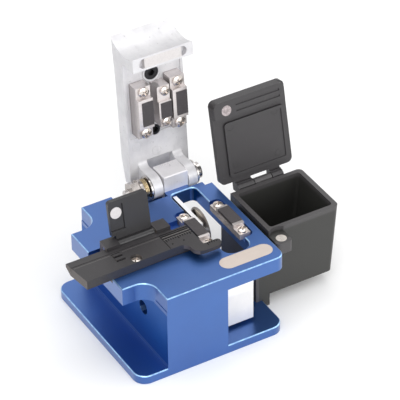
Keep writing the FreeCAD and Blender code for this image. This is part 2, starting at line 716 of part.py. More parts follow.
def ear(x0, x1):
    """One hinge ear: a round end on the bolt, blended into the lever's underside."""
    radius = EAR_RADIUS
    blend = EAR_ROOT_FILLET
    root = LEVER_UNDER - blend
    bend = blend * (1 - math.sqrt(0.5))
    shoulder = math.radians(150)
    side = shut(x0, radius * math.cos(shoulder), radius * math.sin(shoulder))
    rise = shut(x0, radius, root)
    bent = shut(x0, radius + bend, LEVER_UNDER - bend)
    landed = shut(x0, radius + blend, LEVER_UNDER)
    upper = shut(x0, radius + blend, LEVER_HEEL_TOP)
    heel_upper = shut(x0, LEVER_HEEL, LEVER_HEEL_TOP)
    heel_lower = shut(x0, LEVER_HEEL, LEVER_UNDER)
    edges = [
        Part.Arc(side, shut(x0, 0, -radius), shut(x0, radius, 0)).toShape(),
        Part.LineSegment(shut(x0, radius, 0), rise).toShape(),
        Part.Arc(rise, bent, landed).toShape(),
        Part.LineSegment(landed, upper).toShape(),
        Part.LineSegment(upper, heel_upper).toShape(),
        Part.LineSegment(heel_upper, heel_lower).toShape(),
        Part.LineSegment(heel_lower, side).toShape(),
    ]
    return Part.Face(Part.Wire(edges)).extrude(Vector(x1 - x0, 0, 0))


def magnet_reach():
    """Reach of the hook face's middle."""
    return (HOOK_INNER + HOOK_OUTER) / 2


def clamp_centres():
    """X centres of the left and right clamps."""
    return {"left": CLAMP_LEFT_X, "right": CLAMP_RIGHT_X}


def clamp_reach():
    """Reach of the clamps' middle from the hinge."""
    return HINGE_Y - FIBRE_Y


def pad_height():
    """Height of the upper pads' faces above the hinge axis with the lever shut."""
    return CLAMP_PLANE + CLAMP_GAP - HINGE_Z


def upper_step():
    """Height of the stepped ends of the upper clamps, which the screw heads bear on."""
    return pad_height() + UPPER_STEP_DROP


def clamp_span(centre):
    """X span of an upper clamp's block, which is wider than its pad."""
    half = CLAMP_WIDTH / 2
    return centre - half - UPPER_LEFT_WALL, centre + half + UPPER_RIGHT_WALL


def lever_screw_places():
    """Reach and head radius of the two screws in the lever's underside."""
    reaches = [clamp_reach() + offset for offset in LEVER_SCREW_OFFSETS]
    return list(zip(reaches, LEVER_SCREW_RADII))


def under_recess():
    """The shallow recess in the lever's underside."""
    near = clamp_reach() - UNDER_RECESS_NEAR
    far = HOOK_INNER - UNDER_RECESS_FAR
    return lever_block(LEVER_LEFT + UNDER_RECESS_SIDE, LEVER_RIGHT - UNDER_RECESS_SIDE, near, far,
                       LEVER_UNDER - 1, UNDER_FLOOR)


def lever_casting():
    """Die-cast lever: plate, hook and ears, with pockets for the clamps and bores for the screws."""
    width = Vector(LEVER_RIGHT - LEVER_LEFT, 0, 0)
    plate = lever_profile().extrude(width)
    relief = rod_x(HINGE_RELIEF_RADIUS, BLOCK_LEFT - EAR_SIDE_GAP, BLOCK_RIGHT + EAR_GAP, HINGE_Y, HINGE_Z)
    above = HINGE_Z + LEVER_UNDER + 1
    rims = [e for e in plate.Edges if e.BoundBox.XLength < 1e-6 and e.BoundBox.ZMin > above]
    plate = plate.makeFillet(LEVER_EDGE_FILLET, rims)
    casting = clean(plate.fuse([ear(*span) for span in ear_spans()])).cut(relief)
    bolt_hole = HINGE_BOLT_RADIUS + HINGE_RUNNING_GAP
    casting = casting.cut(rod_x(bolt_hole, LEVER_LEFT, LEVER_RIGHT, HINGE_Y, HINGE_Z))
    casting = casting.cut(under_recess())
    half = CLAMP_LENGTH / 2 + POCKET_GAP
    for centre in clamp_centres().values():
        x0, x1 = clamp_span(centre)
        pocket = lever_block(x0 - POCKET_GAP, x1 + POCKET_GAP, clamp_reach() - half, clamp_reach() + half,
                             LEVER_UNDER - 1, UPPER_BACK + UPPER_FLOAT + POCKET_SPARE)
        casting = casting.cut(pocket)
    for reach, radius in lever_screw_places():
        casting = casting.cut(lever_rod(radius, LEVER_SCREW_X, reach, LEVER_UNDER - 1,
                                        LEVER_UNDER + LEVER_SCREW_DEPTH))
    return casting.cut(hook_slot())


def hook_slot():
    """Obround slot in the hook's face for the bar magnet."""
    face = shut((LEVER_LEFT + LEVER_RIGHT) / 2, magnet_reach(), HOOK_FACE)
    floor = face.z + MAGNET_SLOT_DEPTH
    return obround(MAGNET_SLOT_LENGTH, MAGNET_WIDTH, face.x, face.y, face.z - 1, floor)


def lever():
    """The lever casting at its open rest."""
    return opened(lever_casting())


def lever_magnet():
    """Bar magnet let into the hook."""
    middle = shut((LEVER_LEFT + LEVER_RIGHT) / 2, magnet_reach(), HOOK_FACE + MAGNET_SLOT_DEPTH)
    bar = block(middle.x - MAGNET_LENGTH / 2, middle.x + MAGNET_LENGTH / 2,
                middle.y - MAGNET_WIDTH / 2, middle.y + MAGNET_WIDTH / 2, middle.z - MAGNET_THICK, middle.z)
    return opened(bar)


def lever_screw(reach, radius):
    """Socket-head screw in the lever's underside."""
    floor = LEVER_UNDER + LEVER_SCREW_DEPTH
    head = lever_rod(radius, LEVER_SCREW_X, reach, LEVER_UNDER + LEVER_SCREW_SINK, floor)
    start = shut(LEVER_SCREW_X, reach, LEVER_UNDER)
    socket = hexagon_prism(LEVER_SCREW_FLATS, start, Vector(0, 0, 1), LEVER_SOCKET_DEPTH)
    return opened(head.cut(socket))


# ================================================================ clamps
def clamp_screw_reaches():
    """Reaches of an upper clamp's two screws."""
    return clamp_reach() - CLAMP_SCREW_REACH, clamp_reach() + CLAMP_SCREW_REACH


def clamp_screw_offsets():
    """Y places of a lower clamp's two screws."""
    return {"front": FIBRE_Y - CLAMP_SCREW_REACH, "back": FIBRE_Y + CLAMP_SCREW_REACH}


def pad_box(centre, z0, z1):
    """The rectangle that a clamp pad fills."""
    half = CLAMP_WIDTH / 2
    return block(centre - half, centre + half, FIBRE_Y - PAD_LENGTH / 2, FIBRE_Y + PAD_LENGTH / 2, z0, z1)


def lower_clamp(centre):
    """Lower clamp: a raised middle that frames the pad, and a low step at each end for the screws."""
    half = CLAMP_WIDTH / 2
    reach = CLAMP_LENGTH / 2
    step_top = CLAMP_PLANE - CLAMP_STEP_DROP
    raised = PAD_LENGTH / 2 + PAD_BAR
    foot = block(centre - half, centre + half, FIBRE_Y - reach, FIBRE_Y + reach, RECESS_FLOOR, step_top)
    middle = block(centre - half, centre + half, FIBRE_Y - raised, FIBRE_Y + raised,
                   step_top, CLAMP_PLANE - PAD_BAR_DROP)
    return clean(foot.fuse(middle)).cut(pad_box(centre, pad_floor(), CLAMP_PLANE + 1))


def pad_floor():
    """Level that a lower pad is seated on."""
    return CLAMP_PLANE - PAD_PROUD - PAD_SEAT


def lower_pad(centre):
    """Black rubber pad of a lower clamp."""
    return pad_box(centre, pad_floor(), CLAMP_PLANE)


def screw_head(radius, x, y, seat):
    """Cheese head of a screw, standing on its seat."""
    return rod_z(radius, x, y, seat, seat + CLAMP_SCREW_HEAD)


def lower_screw(centre, y):
    """Screw that holds a lower clamp down."""
    return screw_head(CLAMP_SCREW_RADIUS, centre, y, CLAMP_PLANE - CLAMP_STEP_DROP)


def upper_clamp(centre):
    """Sprung upper clamp: a block in the lever's pocket, with a raised frame and two stepped ends."""
    x0, x1 = clamp_span(centre)
    reach = CLAMP_LENGTH / 2
    middle = clamp_reach()
    frame = PAD_LENGTH / 2 + PAD_BAR
    solid = lever_block(x0, x1, middle - reach, middle + reach, upper_step(), UPPER_BACK)
    raised = lever_block(x0, x1, middle - frame, middle + frame, pad_height() + PAD_BAR_DROP, upper_step())
    solid = clean(solid.fuse(raised)).cut(upper_pad_box(centre))
    return opened(solid)


def upper_pad_box(centre):
    """The rectangle that an upper pad fills, flush with the right side of its clamp."""
    half = CLAMP_WIDTH / 2
    near = clamp_reach() - PAD_LENGTH / 2
    back = pad_height() + PAD_PROUD + PAD_SEAT
    return lever_block(centre - half, centre + half, near, near + PAD_LENGTH, pad_height(), back)


def upper_pad(centre):
    """Black rubber pad of an upper clamp."""
    return opened(upper_pad_box(centre))


def upper_screw(x, reach):
    """Screw head that keeps an upper clamp in its pocket."""
    return opened(lever_rod(UPPER_SCREW_RADIUS, x, reach, upper_step() - CLAMP_SCREW_HEAD, upper_step()))


# ================================================================ anvil
def anvil_screw_x():
    """X of the anvil bracket's screws."""
    return (ANVIL_LEFT + ANVIL_RIGHT) / 2


def anvil_screw_reaches():
    """Reaches of the anvil bracket's screws."""
    middle = clamp_reach()
    return middle + ANVIL_NEAR + ANVIL_SCREW_INSET, middle + ANVIL_FAR - ANVIL_SCREW_INSET


def anvil_pad_span():
    """Near and far reach of the anvil pad."""
    near = clamp_reach() + ANVIL_PAD_NEAR
    return near, near + ANVIL_PAD_LENGTH


def anvil_pad_box():
    """The rectangle that the anvil pad fills."""
    near, far = anvil_pad_span()
    return lever_block(ANVIL_LEFT, ANVIL_RIGHT, near, far, pad_height(), ANVIL_FACE + PAD_SEAT)


def anvil_bracket():
    """Bracket between the upper clamps: a block for the pad, and a thin cheek with a slanted end."""
    middle = clamp_reach()
    pad_near, pad_far = anvil_pad_span()
    lip_face = pad_height() + PAD_BAR_DROP
    cheek_left = ANVIL_LEFT - ANVIL_CHEEK_THICK
    far = middle + ANVIL_FAR
    solid = lever_block(ANVIL_LEFT, ANVIL_RIGHT, middle + ANVIL_NEAR, far, ANVIL_FACE, UNDER_FLOOR)
    lip = lever_block(ANVIL_LEFT, ANVIL_RIGHT, pad_far, pad_far + ANVIL_LIP, lip_face, ANVIL_FACE)
    edge = [
        shut(cheek_left, far, ANVIL_FACE), shut(cheek_left, far, UNDER_FLOOR),
        shut(cheek_left, pad_near + ANVIL_CHEEK_SLANT, UNDER_FLOOR), shut(cheek_left, pad_near, lip_face),
        shut(cheek_left, pad_far + ANVIL_LIP, lip_face), shut(cheek_left, pad_far + ANVIL_LIP, ANVIL_FACE),
    ]
    cheek = polygon(edge).extrude(Vector(ANVIL_CHEEK_THICK, 0, 0))
    solid = clean(solid.fuse([lip, cheek])).cut(anvil_pad_box())
    return opened(solid)


def anvil_pad():
    """Pad that presses the fibre towards the blade."""
    return opened(anvil_pad_box())


def anvil_screw(reach):
    """Screw head on the anvil bracket."""
    crown = ANVIL_FACE - CLAMP_SCREW_HEAD
    return opened(lever_rod(CLAMP_SCREW_RADIUS, anvil_screw_x(), reach, crown, ANVIL_FACE))


# ================================================================ slider, rail and blade
def rail():
    """Linear rail on the right of the web, with a ball groove on each side."""
    half = RAIL_HEIGHT / 2
    solid = block(WEB_RIGHT, WEB_RIGHT + RAIL_DEPTH, RAIL_FRONT, RAIL_BACK, RAIL_Z - half, RAIL_Z + half)
    middle = WEB_RIGHT + RAIL_DEPTH * 0.55
    for side in (-1, 1):
        groove = rod(RAIL_GROOVE, Vector(middle, RAIL_FRONT, RAIL_Z + side * half),
                     Vector(middle, RAIL_BACK, RAIL_Z + side * half))
        solid = solid.cut(groove)
    return solid


def rail_truck():
    """Carriage that runs on the rail and carries the slider."""
    x1 = slider_left()
    x0 = x1 - TRUCK_DEPTH
    half = TRUCK_HEIGHT / 2
    front = RAIL_FRONT + SLIDER_STROKE + RAIL_END_ROOM
    back = front + TRUCK_LENGTH
    solid = block(x0, x1, front, back, RAIL_Z - half, RAIL_Z + half)
    gap = RAIL_HEIGHT / 2 + RAIL_GAP
    crown = WEB_RIGHT + RAIL_DEPTH + RAIL_GAP
    return solid.cut(block(x0, crown, front, back, RAIL_Z - gap, RAIL_Z + gap))


def slider_left():
    """X of the slider's face on the truck."""
    return WEB_RIGHT + RAIL_DEPTH - TRUCK_LAP + TRUCK_DEPTH


def slider_side_outline():
    """Side outline of the slider's bed and raised nose."""
    nose_back = SLIDER_FRONT + SLIDER_NOSE_THICK
    fall = SLIDER_NOSE_TOP - SLIDER_BED_TOP
    return [
        (SLIDER_FRONT, SLIDER_BOTTOM), (SLIDER_BACK, SLIDER_BOTTOM), (SLIDER_BACK, SLIDER_BED_TOP),
        (nose_back + fall, SLIDER_BED_TOP), (nose_back, SLIDER_NOSE_TOP), (SLIDER_FRONT, SLIDER_NOSE_TOP),
    ]


def slider():
    """Pushed block with a raised nose and a skirt over the rail, and the upright arm for the blade."""
    x0 = slider_left()
    x1 = x0 + SLIDER_WIDTH
    side = polygon([Vector(x0, y, z) for y, z in slider_side_outline()])
    bed = side.extrude(Vector(SLIDER_WIDTH, 0, 0))
    skirt_back = SLIDER_FRONT + SLIDER_SKIRT
    skirt = block(WEB_RIGHT + SLIDER_SKIRT_GAP, x1, SLIDER_FRONT, skirt_back, SLIDER_BOTTOM, SLIDER_NOSE_TOP)
    arm_right = ARM_LEFT + ARM_THICK
    arm = block(ARM_LEFT, arm_right, ARM_BACK - ARM_LENGTH, ARM_BACK, SLIDER_BED_TOP, ARM_TOP)
    heel = block(ARM_LEFT, arm_right, SLIDER_BACK - ARM_THICK, ARM_BACK, SLIDER_BOTTOM, SLIDER_BED_TOP)
    boss_end = blade_left() - BLADE_SIDE_GAP
    boss = rod_x(ARM_BOSS_RADIUS, arm_right, boss_end, BLADE_Y, blade_axis_z())
    solid = clean(bed.fuse([skirt, arm, heel, boss]))
    return solid.cut(rod_x(BLADE_PIN_RADIUS, ARM_LEFT, boss_end, BLADE_Y, blade_axis_z()))


def blade_left():
    """X of the blade's left face."""
    return BLADE_X - BLADE_THICK / 2


def blade_axis_z():
    """Height of the blade's axis, which puts its edge just under the clamped fibre."""
    return CLAMP_PLANE - BLADE_UNDER_FIBRE - BLADE_RADIUS


def blade():
    """Round carbide blade, ground to an edge on both sides."""
    x0 = blade_left()
    x1 = x0 + BLADE_THICK
    middle = BLADE_X
    inner = BLADE_RADIUS - BLADE_EDGE
    bore = BLADE_PIN_RADIUS + HINGE_RUNNING_GAP
    y, z = BLADE_Y, blade_axis_z()
    outline = [
        Vector(x0, y, z + bore), Vector(x0, y, z + inner), Vector(middle, y, z + BLADE_RADIUS),
        Vector(x1, y, z + inner), Vector(x1, y, z + bore),
    ]
    return polygon(outline).revolve(Vector(x0, y, z), Vector(1, 0, 0), 360)


def blade_screw():
    """Screw that holds the blade to the arm's boss."""
    x1 = blade_left() + BLADE_THICK + BLADE_SIDE_GAP
    y, z = BLADE_Y, blade_axis_z()
    shank = rod_x(BLADE_PIN_RADIUS, ARM_LEFT, x1, y, z)
    head = rod_x(BLADE_SCREW_RADIUS, x1, x1 + BLADE_SCREW_HEAD, y, z)
    half = BLADE_SLOT_WIDTH / 2
    slot = block(x1 + BLADE_SCREW_HEAD - BLADE_SLOT_DEPTH, x1 + BLADE_SCREW_HEAD, y - BLADE_SCREW_RADIUS,
                 y + BLADE_SCREW_RADIUS, z - half, z + half)
    return clean(shank.fuse(head)).cut(slot)


# ================================================================ fibre holder
def post_spans():
    """X spans of the left and right hinge posts."""
    right_left = RIGHT_POST_RIGHT - RIGHT_POST_WIDTH
    left_right = right_left - BARREL_BAY
    return (left_right - LEFT_POST_WIDTH, left_right), (right_left, RIGHT_POST_RIGHT)


def holder_outline():
    """Plan outline of the bar with the feet of its posts. Its front edge tapers back to the neck."""
    left_post = post_spans()[0][0]
    return [
        (HOLDER_LEFT, HOLDER_BACK), (HOLDER_LEFT + HOLDER_END_SKEW, HOLDER_FRONT),
        (neck_root(), SEAT_FRONT), (HOLDER_RIGHT, SEAT_FRONT), (HOLDER_RIGHT, HOLDER_RIGHT_BACK),
        (RIGHT_POST_RIGHT, HOLDER_RIGHT_BACK), (RIGHT_POST_RIGHT, POST_BACK),
        (left_post, POST_BACK), (left_post, HOLDER_BACK),
    ]


def neck_root():
    """X where the bar's front edge stops tapering, left of the finger's neck."""
    return TIP_NECK - 2 * TIP_NECK_FILLET


def holder_end_bevel():
    """The bevel under the back edge of the bar's overhanging left end."""
    low = HOLDER_OVERHANG_BOTTOM
    corners = [
        Vector(HOLDER_LEFT, HOLDER_BACK - HOLDER_BEVEL_WIDTH, low), Vector(HOLDER_LEFT, HOLDER_BACK, low),
        Vector(HOLDER_LEFT, HOLDER_BACK, low + HOLDER_BEVEL_RISE),
    ]
    return polygon(corners).extrude(Vector(PLATE_LEFT - HOLDER_LEFT, 0, 0))


def holder_tip():
    """Thin finger at the front right, joined to the bar by an S-shaped neck."""
    inside = SEAT_FRONT + TIP_NECK_FILLET
    root = neck_root()
    outline = [
        (root, SEAT_FRONT), (TIP_NECK, SEAT_FRONT), (TIP_NECK, TIP_FRONT), (TIP_RIGHT, TIP_FRONT),
        (TIP_RIGHT, TIP_BACK), (HOLDER_RIGHT, TIP_BACK), (HOLDER_RIGHT, inside), (root, inside),
    ]
    tip = plan_prism(outline, HOLDER_TOP - TIP_THICK, HOLDER_TOP)
    tip = round_corners(tip, [(TIP_NECK, SEAT_FRONT)], TIP_NECK_FILLET)
    tip = round_corners(tip, [(TIP_NECK, TIP_FRONT)], TIP_FRONT_FILLET)
    tip = round_corners(tip, [(TIP_RIGHT, TIP_FRONT)], TIP_END_FILLET)
    return round_corners(tip, [(TIP_RIGHT, TIP_BACK)], TIP_END_FILLET / 2)


def fibre_holder():
    """Black holder bar seated in the channel, with hinge posts, fibre groove, ruler slots and finger."""
    bar = plan_prism(holder_outline(), HOLDER_OVERHANG_BOTTOM, HOLDER_TOP)
    seat = block(PLATE_LEFT, HOLDER_RIGHT, SEAT_FRONT, HOLDER_BACK, CHANNEL_FLOOR, HOLDER_OVERHANG_BOTTOM)
    seat = seat.cut(block(RIGHT_POST_RIGHT, HOLDER_RIGHT, HOLDER_RIGHT_BACK, HOLDER_BACK, 0, HOLDER_TOP))
    post_top = HOLDER_TOP + POST_RISE
    posts = [block(x0, x1, POST_FRONT, POST_BACK, HOLDER_TOP, post_top) for x0, x1 in post_spans()]
    solid = clean(bar.fuse([seat, holder_tip()] + posts + holder_ridges()))
    for cutter in holder_cutters():
        solid = solid.cut(cutter)
    return solid


def holder_ridges():
    """Small grip ridges in front of the left post."""
    x0 = post_spans()[0][0] + RIDGE_INSET
    back = FIBRE_Y - RIDGE_FROM_FIBRE
    fronts = [back - turn * RIDGE_PITCH - RIDGE_WIDTH for turn in range(RIDGE_COUNT)]
    top = HOLDER_TOP + RIDGE_RISE
    return [block(x0, x0 + RIDGE_LENGTH, y, y + RIDGE_WIDTH, HOLDER_TOP, top) for y in fronts]


def holder_screw_x():
    """X of the holder's screw."""
    return post_spans()[0][1] + HOLDER_SCREW_FROM_POST


def holder_cutters():
    """Barrel bay, pin bore, fibre grooves, the screw's counterbore and the bevel under the left end."""
    clear = FLAP_BARREL_RADIUS + FLAP_SIDE_GAP
    above = HOLDER_TOP + POST_RISE + 1
    front = FLAP_PIN_Y - clear
    (pin_left, bay_left), (bay_right, pin_right) = post_spans()
    bay = block(bay_left, bay_right, front, POST_BACK + 1, FLAP_PIN_Z - clear, above)
    bore = rod_x(FLAP_PIN_RADIUS, pin_left, pin_right, FLAP_PIN_Y, FLAP_PIN_Z)
    x = holder_screw_x()
    screw = rod_z(HOLDER_SCREW_RADIUS + HOLDER_SCREW_GAP, x, HOLDER_SCREW_Y, screw_seat(), above)
    grooves = [fibre_groove(HOLDER_LEFT, 0.0)]
    grooves += [fibre_groove(bay_right, offset) for offset in RULER_GROOVE_OFFSETS]
    return [bay, bore, screw, holder_end_bevel()] + grooves


def fibre_groove(left, offset):
    """A groove cut down to the fibre's level, from the given X to the holder's right end."""
    y0 = FIBRE_Y + offset - GROOVE_WIDTH / 2
    return block(left, HOLDER_RIGHT, y0, y0 + GROOVE_WIDTH, CLAMP_PLANE, HOLDER_TOP)


def screw_seat():
    """Level of the holder screw's seat."""
    return HOLDER_TOP - HOLDER_SCREW_SINK - CLAMP_SCREW_HEAD


def holder_screw():
    """Screw in the holder's counterbore."""
    return screw_head(HOLDER_SCREW_RADIUS, holder_screw_x(), HOLDER_SCREW_Y, screw_seat())


# ================================================================ holder flap
def barrel_span():
    """X span of the flap's barrel between the posts."""
    (_, bay_left), (bay_right, _) = post_spans()
    return bay_left + FLAP_SIDE_GAP, bay_right - FLAP_SIDE_GAP


def flap_left():
    """X of the flap's left edge, which laps over the left post."""
    return barrel_span()[0] - FLAP_LEFT_LAP


def flap_under():
    """Level of the shut flap's underside."""
    return HOLDER_TOP + FLAP_SEAT_GAP


def opened_flap(shape):
    """A flap piece swung from shut to open."""
    return swung(shape, FLAP_PIN_Y, FLAP_PIN_Z, -FLAP_OPEN_ANGLE)


def flap_magnet_place():
    """X and Y of the magnet on the shut flap."""
    return flap_left() + FLAP_STRIP_WIDTH / 2, FLAP_PIN_Y - FLAP_MAGNET_REACH


def flap_magnet_seat():
    """Level of the magnet's seat in the shut flap."""
    return flap_under() + FLAP_RECESS + FLAP_MAGNET_THICK - FLAP_MAGNET_SINK


def holder_flap():
    """Flip-over flap with its barrel, a sunk strip and a magnet seat, shown standing open."""
    x0 = flap_left()
    x1 = x0 + FLAP_WIDTH
    b0, b1 = barrel_span()
    under = flap_under()
    top = under + FLAP_THICK
    front = FLAP_PIN_Y - FLAP_LENGTH
    wing_back = FLAP_PIN_Y - math.hypot(FLAP_PIN_Y - POST_FRONT, POST_RISE + FLAP_PIN_DROP) - FLAP_SIDE_GAP
    plate = block(x0, x1, front, wing_back, under, top)
    plate = round_corners(plate, [(x0, front), (x1, front)], FLAP_CORNER)
    neck = block(b0, min(b1, x1), wing_back, FLAP_PIN_Y, under, top)
    barrel = rod_x(FLAP_BARREL_RADIUS, b0, b1, FLAP_PIN_Y, FLAP_PIN_Z)
    solid = clean(plate.fuse([neck, barrel]))
    strip_front = front + FLAP_STRIP_FRONT
    strip = block(x0, x0 + FLAP_STRIP_WIDTH, strip_front, strip_front + FLAP_STRIP_LENGTH, under,
                  under + FLAP_RECESS)
    x, y = flap_magnet_place()
    seat = rod_z(FLAP_MAGNET_RADIUS, x, y, under, flap_magnet_seat())
    bore = rod_x(FLAP_PIN_RADIUS + HINGE_RUNNING_GAP, b0, b1, FLAP_PIN_Y, FLAP_PIN_Z)
    return opened_flap(solid.cut(strip).cut(seat).cut(bore))


def flap_magnet():
    """Disc magnet in the flap."""
    x, y = flap_magnet_place()
    top = flap_magnet_seat()
    return opened_flap(rod_z(FLAP_MAGNET_RADIUS, x, y, top - FLAP_MAGNET_THICK, top))


def flap_pin():
    """Pin through the posts and the flap's barrel."""
    (left, _), (_, right) = post_spans()
    return rod_x(FLAP_PIN_RADIUS, left, right, FLAP_PIN_Y, FLAP_PIN_Z)


# ================================================================ scrap box
def box_shell_outline(inset):
    """Front outline of the box, with its right wall leaning in towards the floor."""
    bottom = BOX_BOTTOM + (BOX_FLOOR if inset else 0)
    lean = BOX_RIGHT_DRAFT * (1 - (bottom - BOX_BOTTOM) / (BOX_RIM - BOX_BOTTOM))
    top = BOX_RIM + (1 if inset else 0)
    rise = BOX_RIGHT_DRAFT / (BOX_RIM - BOX_BOTTOM) if inset else 0
    return [
        (BOX_LEFT + inset, bottom), (BOX_RIGHT - lean - inset, bottom), (BOX_RIGHT - inset + rise, top),
        (BOX_LEFT + inset, top),
    ]


def scrap_box():
    """Open bin with a tongue that plugs into the body, a leg, the magnet boss and the lid's knuckle."""
    depth = BOX_BACK - BOX_FRONT
    shell = polygon([Vector(x, BOX_FRONT, z) for x, z in box_shell_outline(0)]).extrude(Vector(0, depth, 0))
    uprights = [e for e in shell.Edges
                if e.BoundBox.ZLength > BOX_RIM - BOX_BOTTOM - 1 and e.BoundBox.XMin > BOX_LEFT + 1]
    shell = shell.makeFillet(BOX_CORNER, uprights)
    cavity = polygon([Vector(x, BOX_FRONT + BOX_WALL, z) for x, z in box_shell_outline(BOX_WALL)])
    cavity = cavity.extrude(Vector(0, depth - 2 * BOX_WALL, 0))
    corners = [e for e in cavity.Edges if e.BoundBox.ZLength > BOX_RIM - BOX_BOTTOM - BOX_FLOOR - 1]
    cavity = cavity.makeFillet(BOX_CORNER * 0.6, corners)
    tongue = block(BODY_RIGHT - TONGUE_PLUG, BOX_LEFT, BOX_FRONT, BOX_BACK - TONGUE_INSET,
                   BASE_THICK, PLATE_UNDER)
    leg_left = BODY_RIGHT + LEG_INSET
    leg = block(leg_left, leg_left + LEG_THICK, BOX_FRONT, BOX_FRONT + LEG_LENGTH, LEG_GROUND, BOX_BOTTOM)
    solid = clean(shell.fuse([tongue, leg, magnet_boss(), box_knuckle()])).cut(cavity)
    seat = BOSS_TOP - BOX_MAGNET_THICK
    solid = solid.cut(rod_z(BOX_MAGNET_RADIUS, BOX_MAGNET_X, BOX_MAGNET_Y, seat, BOSS_TOP))
    solid = solid.cut(rod_z(RIM_CUT_RADIUS, BOX_MAGNET_X, BOX_MAGNET_Y, BOSS_TOP, BOX_RIM))
    return solid.cut(rod_x(LID_PIN_RADIUS, BOX_LEFT, BOX_RIGHT, LID_PIN_Y, LID_PIN_Z))


def magnet_boss():
    """Ledge on the front wall that carries the catch magnet, braced from below."""
    low = BOSS_TOP - BOSS_HEIGHT
    front = BOX_FRONT - BOSS_REACH
    side = [(BOX_FRONT, BOSS_TOP), (BOX_FRONT, low - BOSS_REACH), (front, low), (front, BOSS_TOP)]
    ledge = polygon([Vector(BOX_LEFT, y, z) for y, z in side]).extrude(Vector(BOSS_WIDTH, 0, 0))
    return round_corners(ledge, [(BOX_LEFT, front), (BOX_LEFT + BOSS_WIDTH, front)], BOSS_RADIUS)


def box_knuckle():
    """Fixed knuckle of the lid's hinge, on the back wall."""
    half = LID_KNUCKLE_WIDTH / 2
    x0, x1 = LID_KNUCKLE_X - half, LID_KNUCKLE_X + half
    barrel = rod_x(LID_BARREL_RADIUS, x0, x1, LID_PIN_Y, LID_PIN_Z)
    root = block(x0, x1, BOX_BACK - 0.5, LID_PIN_Y, LID_PIN_Z - LID_BARREL_RADIUS, LID_PIN_Z + 0.4)
    return barrel.fuse(root)


def box_magnet():
    """Disc magnet in the box's ledge."""
    return rod_z(BOX_MAGNET_RADIUS, BOX_MAGNET_X, BOX_MAGNET_Y, BOSS_TOP - BOX_MAGNET_THICK, BOSS_TOP)


# ================================================================ scrap-box lid
def lid_under():
    """Level of the shut lid's underside."""
    return BOX_RIM + LID_SEAT_GAP


def opened_lid(shape):
    """A lid piece swung from shut to open."""
    return swung(shape, LID_PIN_Y, LID_PIN_Z, -LID_OPEN_ANGLE)


def strip_under():
    """Level of the thick front strip's underside on the shut lid."""
    return BOSS_TOP + LID_SEAT_GAP


def lid_arm_spans():
    """X spans of the two hinge arms, on either side of the knuckle."""
    half = LID_KNUCKLE_WIDTH / 2 + LID_KNUCKLE_GAP
    left, right = LID_ARM_WIDTHS
    return ((LID_KNUCKLE_X - half - left, LID_KNUCKLE_X - half),
            (LID_KNUCKLE_X + half, LID_KNUCKLE_X + half + right))


def lid_arms():
    """The two hinge arms that reach back from the lid to the pin."""
    top = lid_under() + LID_THICK
    arms = []
    for x0, x1 in lid_arm_spans():
        arm = block(x0, x1, LID_REAR, LID_PIN_Y, lid_under(), top)
        neck = block(x0, x1, BOX_BACK + LID_KNUCKLE_GAP, LID_PIN_Y + LID_BARREL_RADIUS, LID_PIN_Z, top)
        barrel = rod_x(LID_BARREL_RADIUS, x0, x1, LID_PIN_Y, LID_PIN_Z)
        arms.append(arm.fuse([neck, barrel]))
    return arms


def box_lid():
    """Lid with a thick front strip, a rimmed inner panel and two hinge arms, shown standing open."""
    front = LID_REAR - LID_LENGTH
    under = lid_under()
    plate = rounded_block(LID_LEFT, LID_RIGHT, front, LID_REAR, under, under + LID_THICK, LID_CORNER)
    strip_right = LID_RIGHT - LID_STRIP_INSET
    strip = block(LID_LEFT, strip_right, front, BOX_FRONT - LID_STRIP_GAP, strip_under(), under)
    strip = round_corners(strip, [(LID_LEFT, front), (strip_right, front)], LID_CORNER)
    solid = clean(plate.fuse([strip, lid_panel()] + lid_arms()))
    x, y = BOX_MAGNET_X, BOX_MAGNET_Y
    seat = strip_under() + BOX_MAGNET_THICK
    cutters = [lid_sink(), rod_z(BOX_MAGNET_RADIUS, x, y, strip_under(), seat)]
    for share in LID_GROOVE_SHARES:
        y0 = front + share * (BOX_FRONT - LID_STRIP_GAP - front)
        half = LID_GROOVE_WIDTH / 2
        cutters.append(block(x + 2 * BOX_MAGNET_RADIUS, strip_right - LID_CORNER, y0 - half, y0 + half,
                             strip_under(), strip_under() + LID_GROOVE_DEPTH))
    cutters.append(rod_x(LID_PIN_RADIUS + HINGE_RUNNING_GAP, BOX_LEFT, BOX_RIGHT, LID_PIN_Y, LID_PIN_Z))
    for cutter in cutters:
        solid = solid.cut(cutter)
    return opened_lid(solid)


def lid_panel():
    """The panel on the lid's underside that fits the box's mouth."""
    gap = BOX_WALL + LID_PANEL_GAP
    return rounded_block(BOX_LEFT + gap, BOX_RIGHT - gap, BOX_FRONT + gap, BOX_BACK - gap,
                         lid_under() - LID_PANEL_THICK, lid_under(), LID_PANEL_RADIUS)


def lid_sink():
    """The shallow sink inside the panel's rim."""
    gap = BOX_WALL + LID_PANEL_GAP + LID_PANEL_RIM
    low = lid_under() - LID_PANEL_THICK
    return block(BOX_LEFT + gap, BOX_RIGHT - gap, BOX_FRONT + gap, BOX_BACK - gap, low, low + LID_PANEL_SINK)


def lid_magnet():
    """Disc magnet in the lid's strip."""
    return opened_lid(rod_z(BOX_MAGNET_RADIUS, BOX_MAGNET_X, BOX_MAGNET_Y, strip_under(),
                            strip_under() + BOX_MAGNET_THICK))


def lid_pin():
    """Pin through the knuckle and both arms."""
    (left, _), (_, right) = lid_arm_spans()
    return rod_x(LID_PIN_RADIUS, left, right, LID_PIN_Y, LID_PIN_Z)


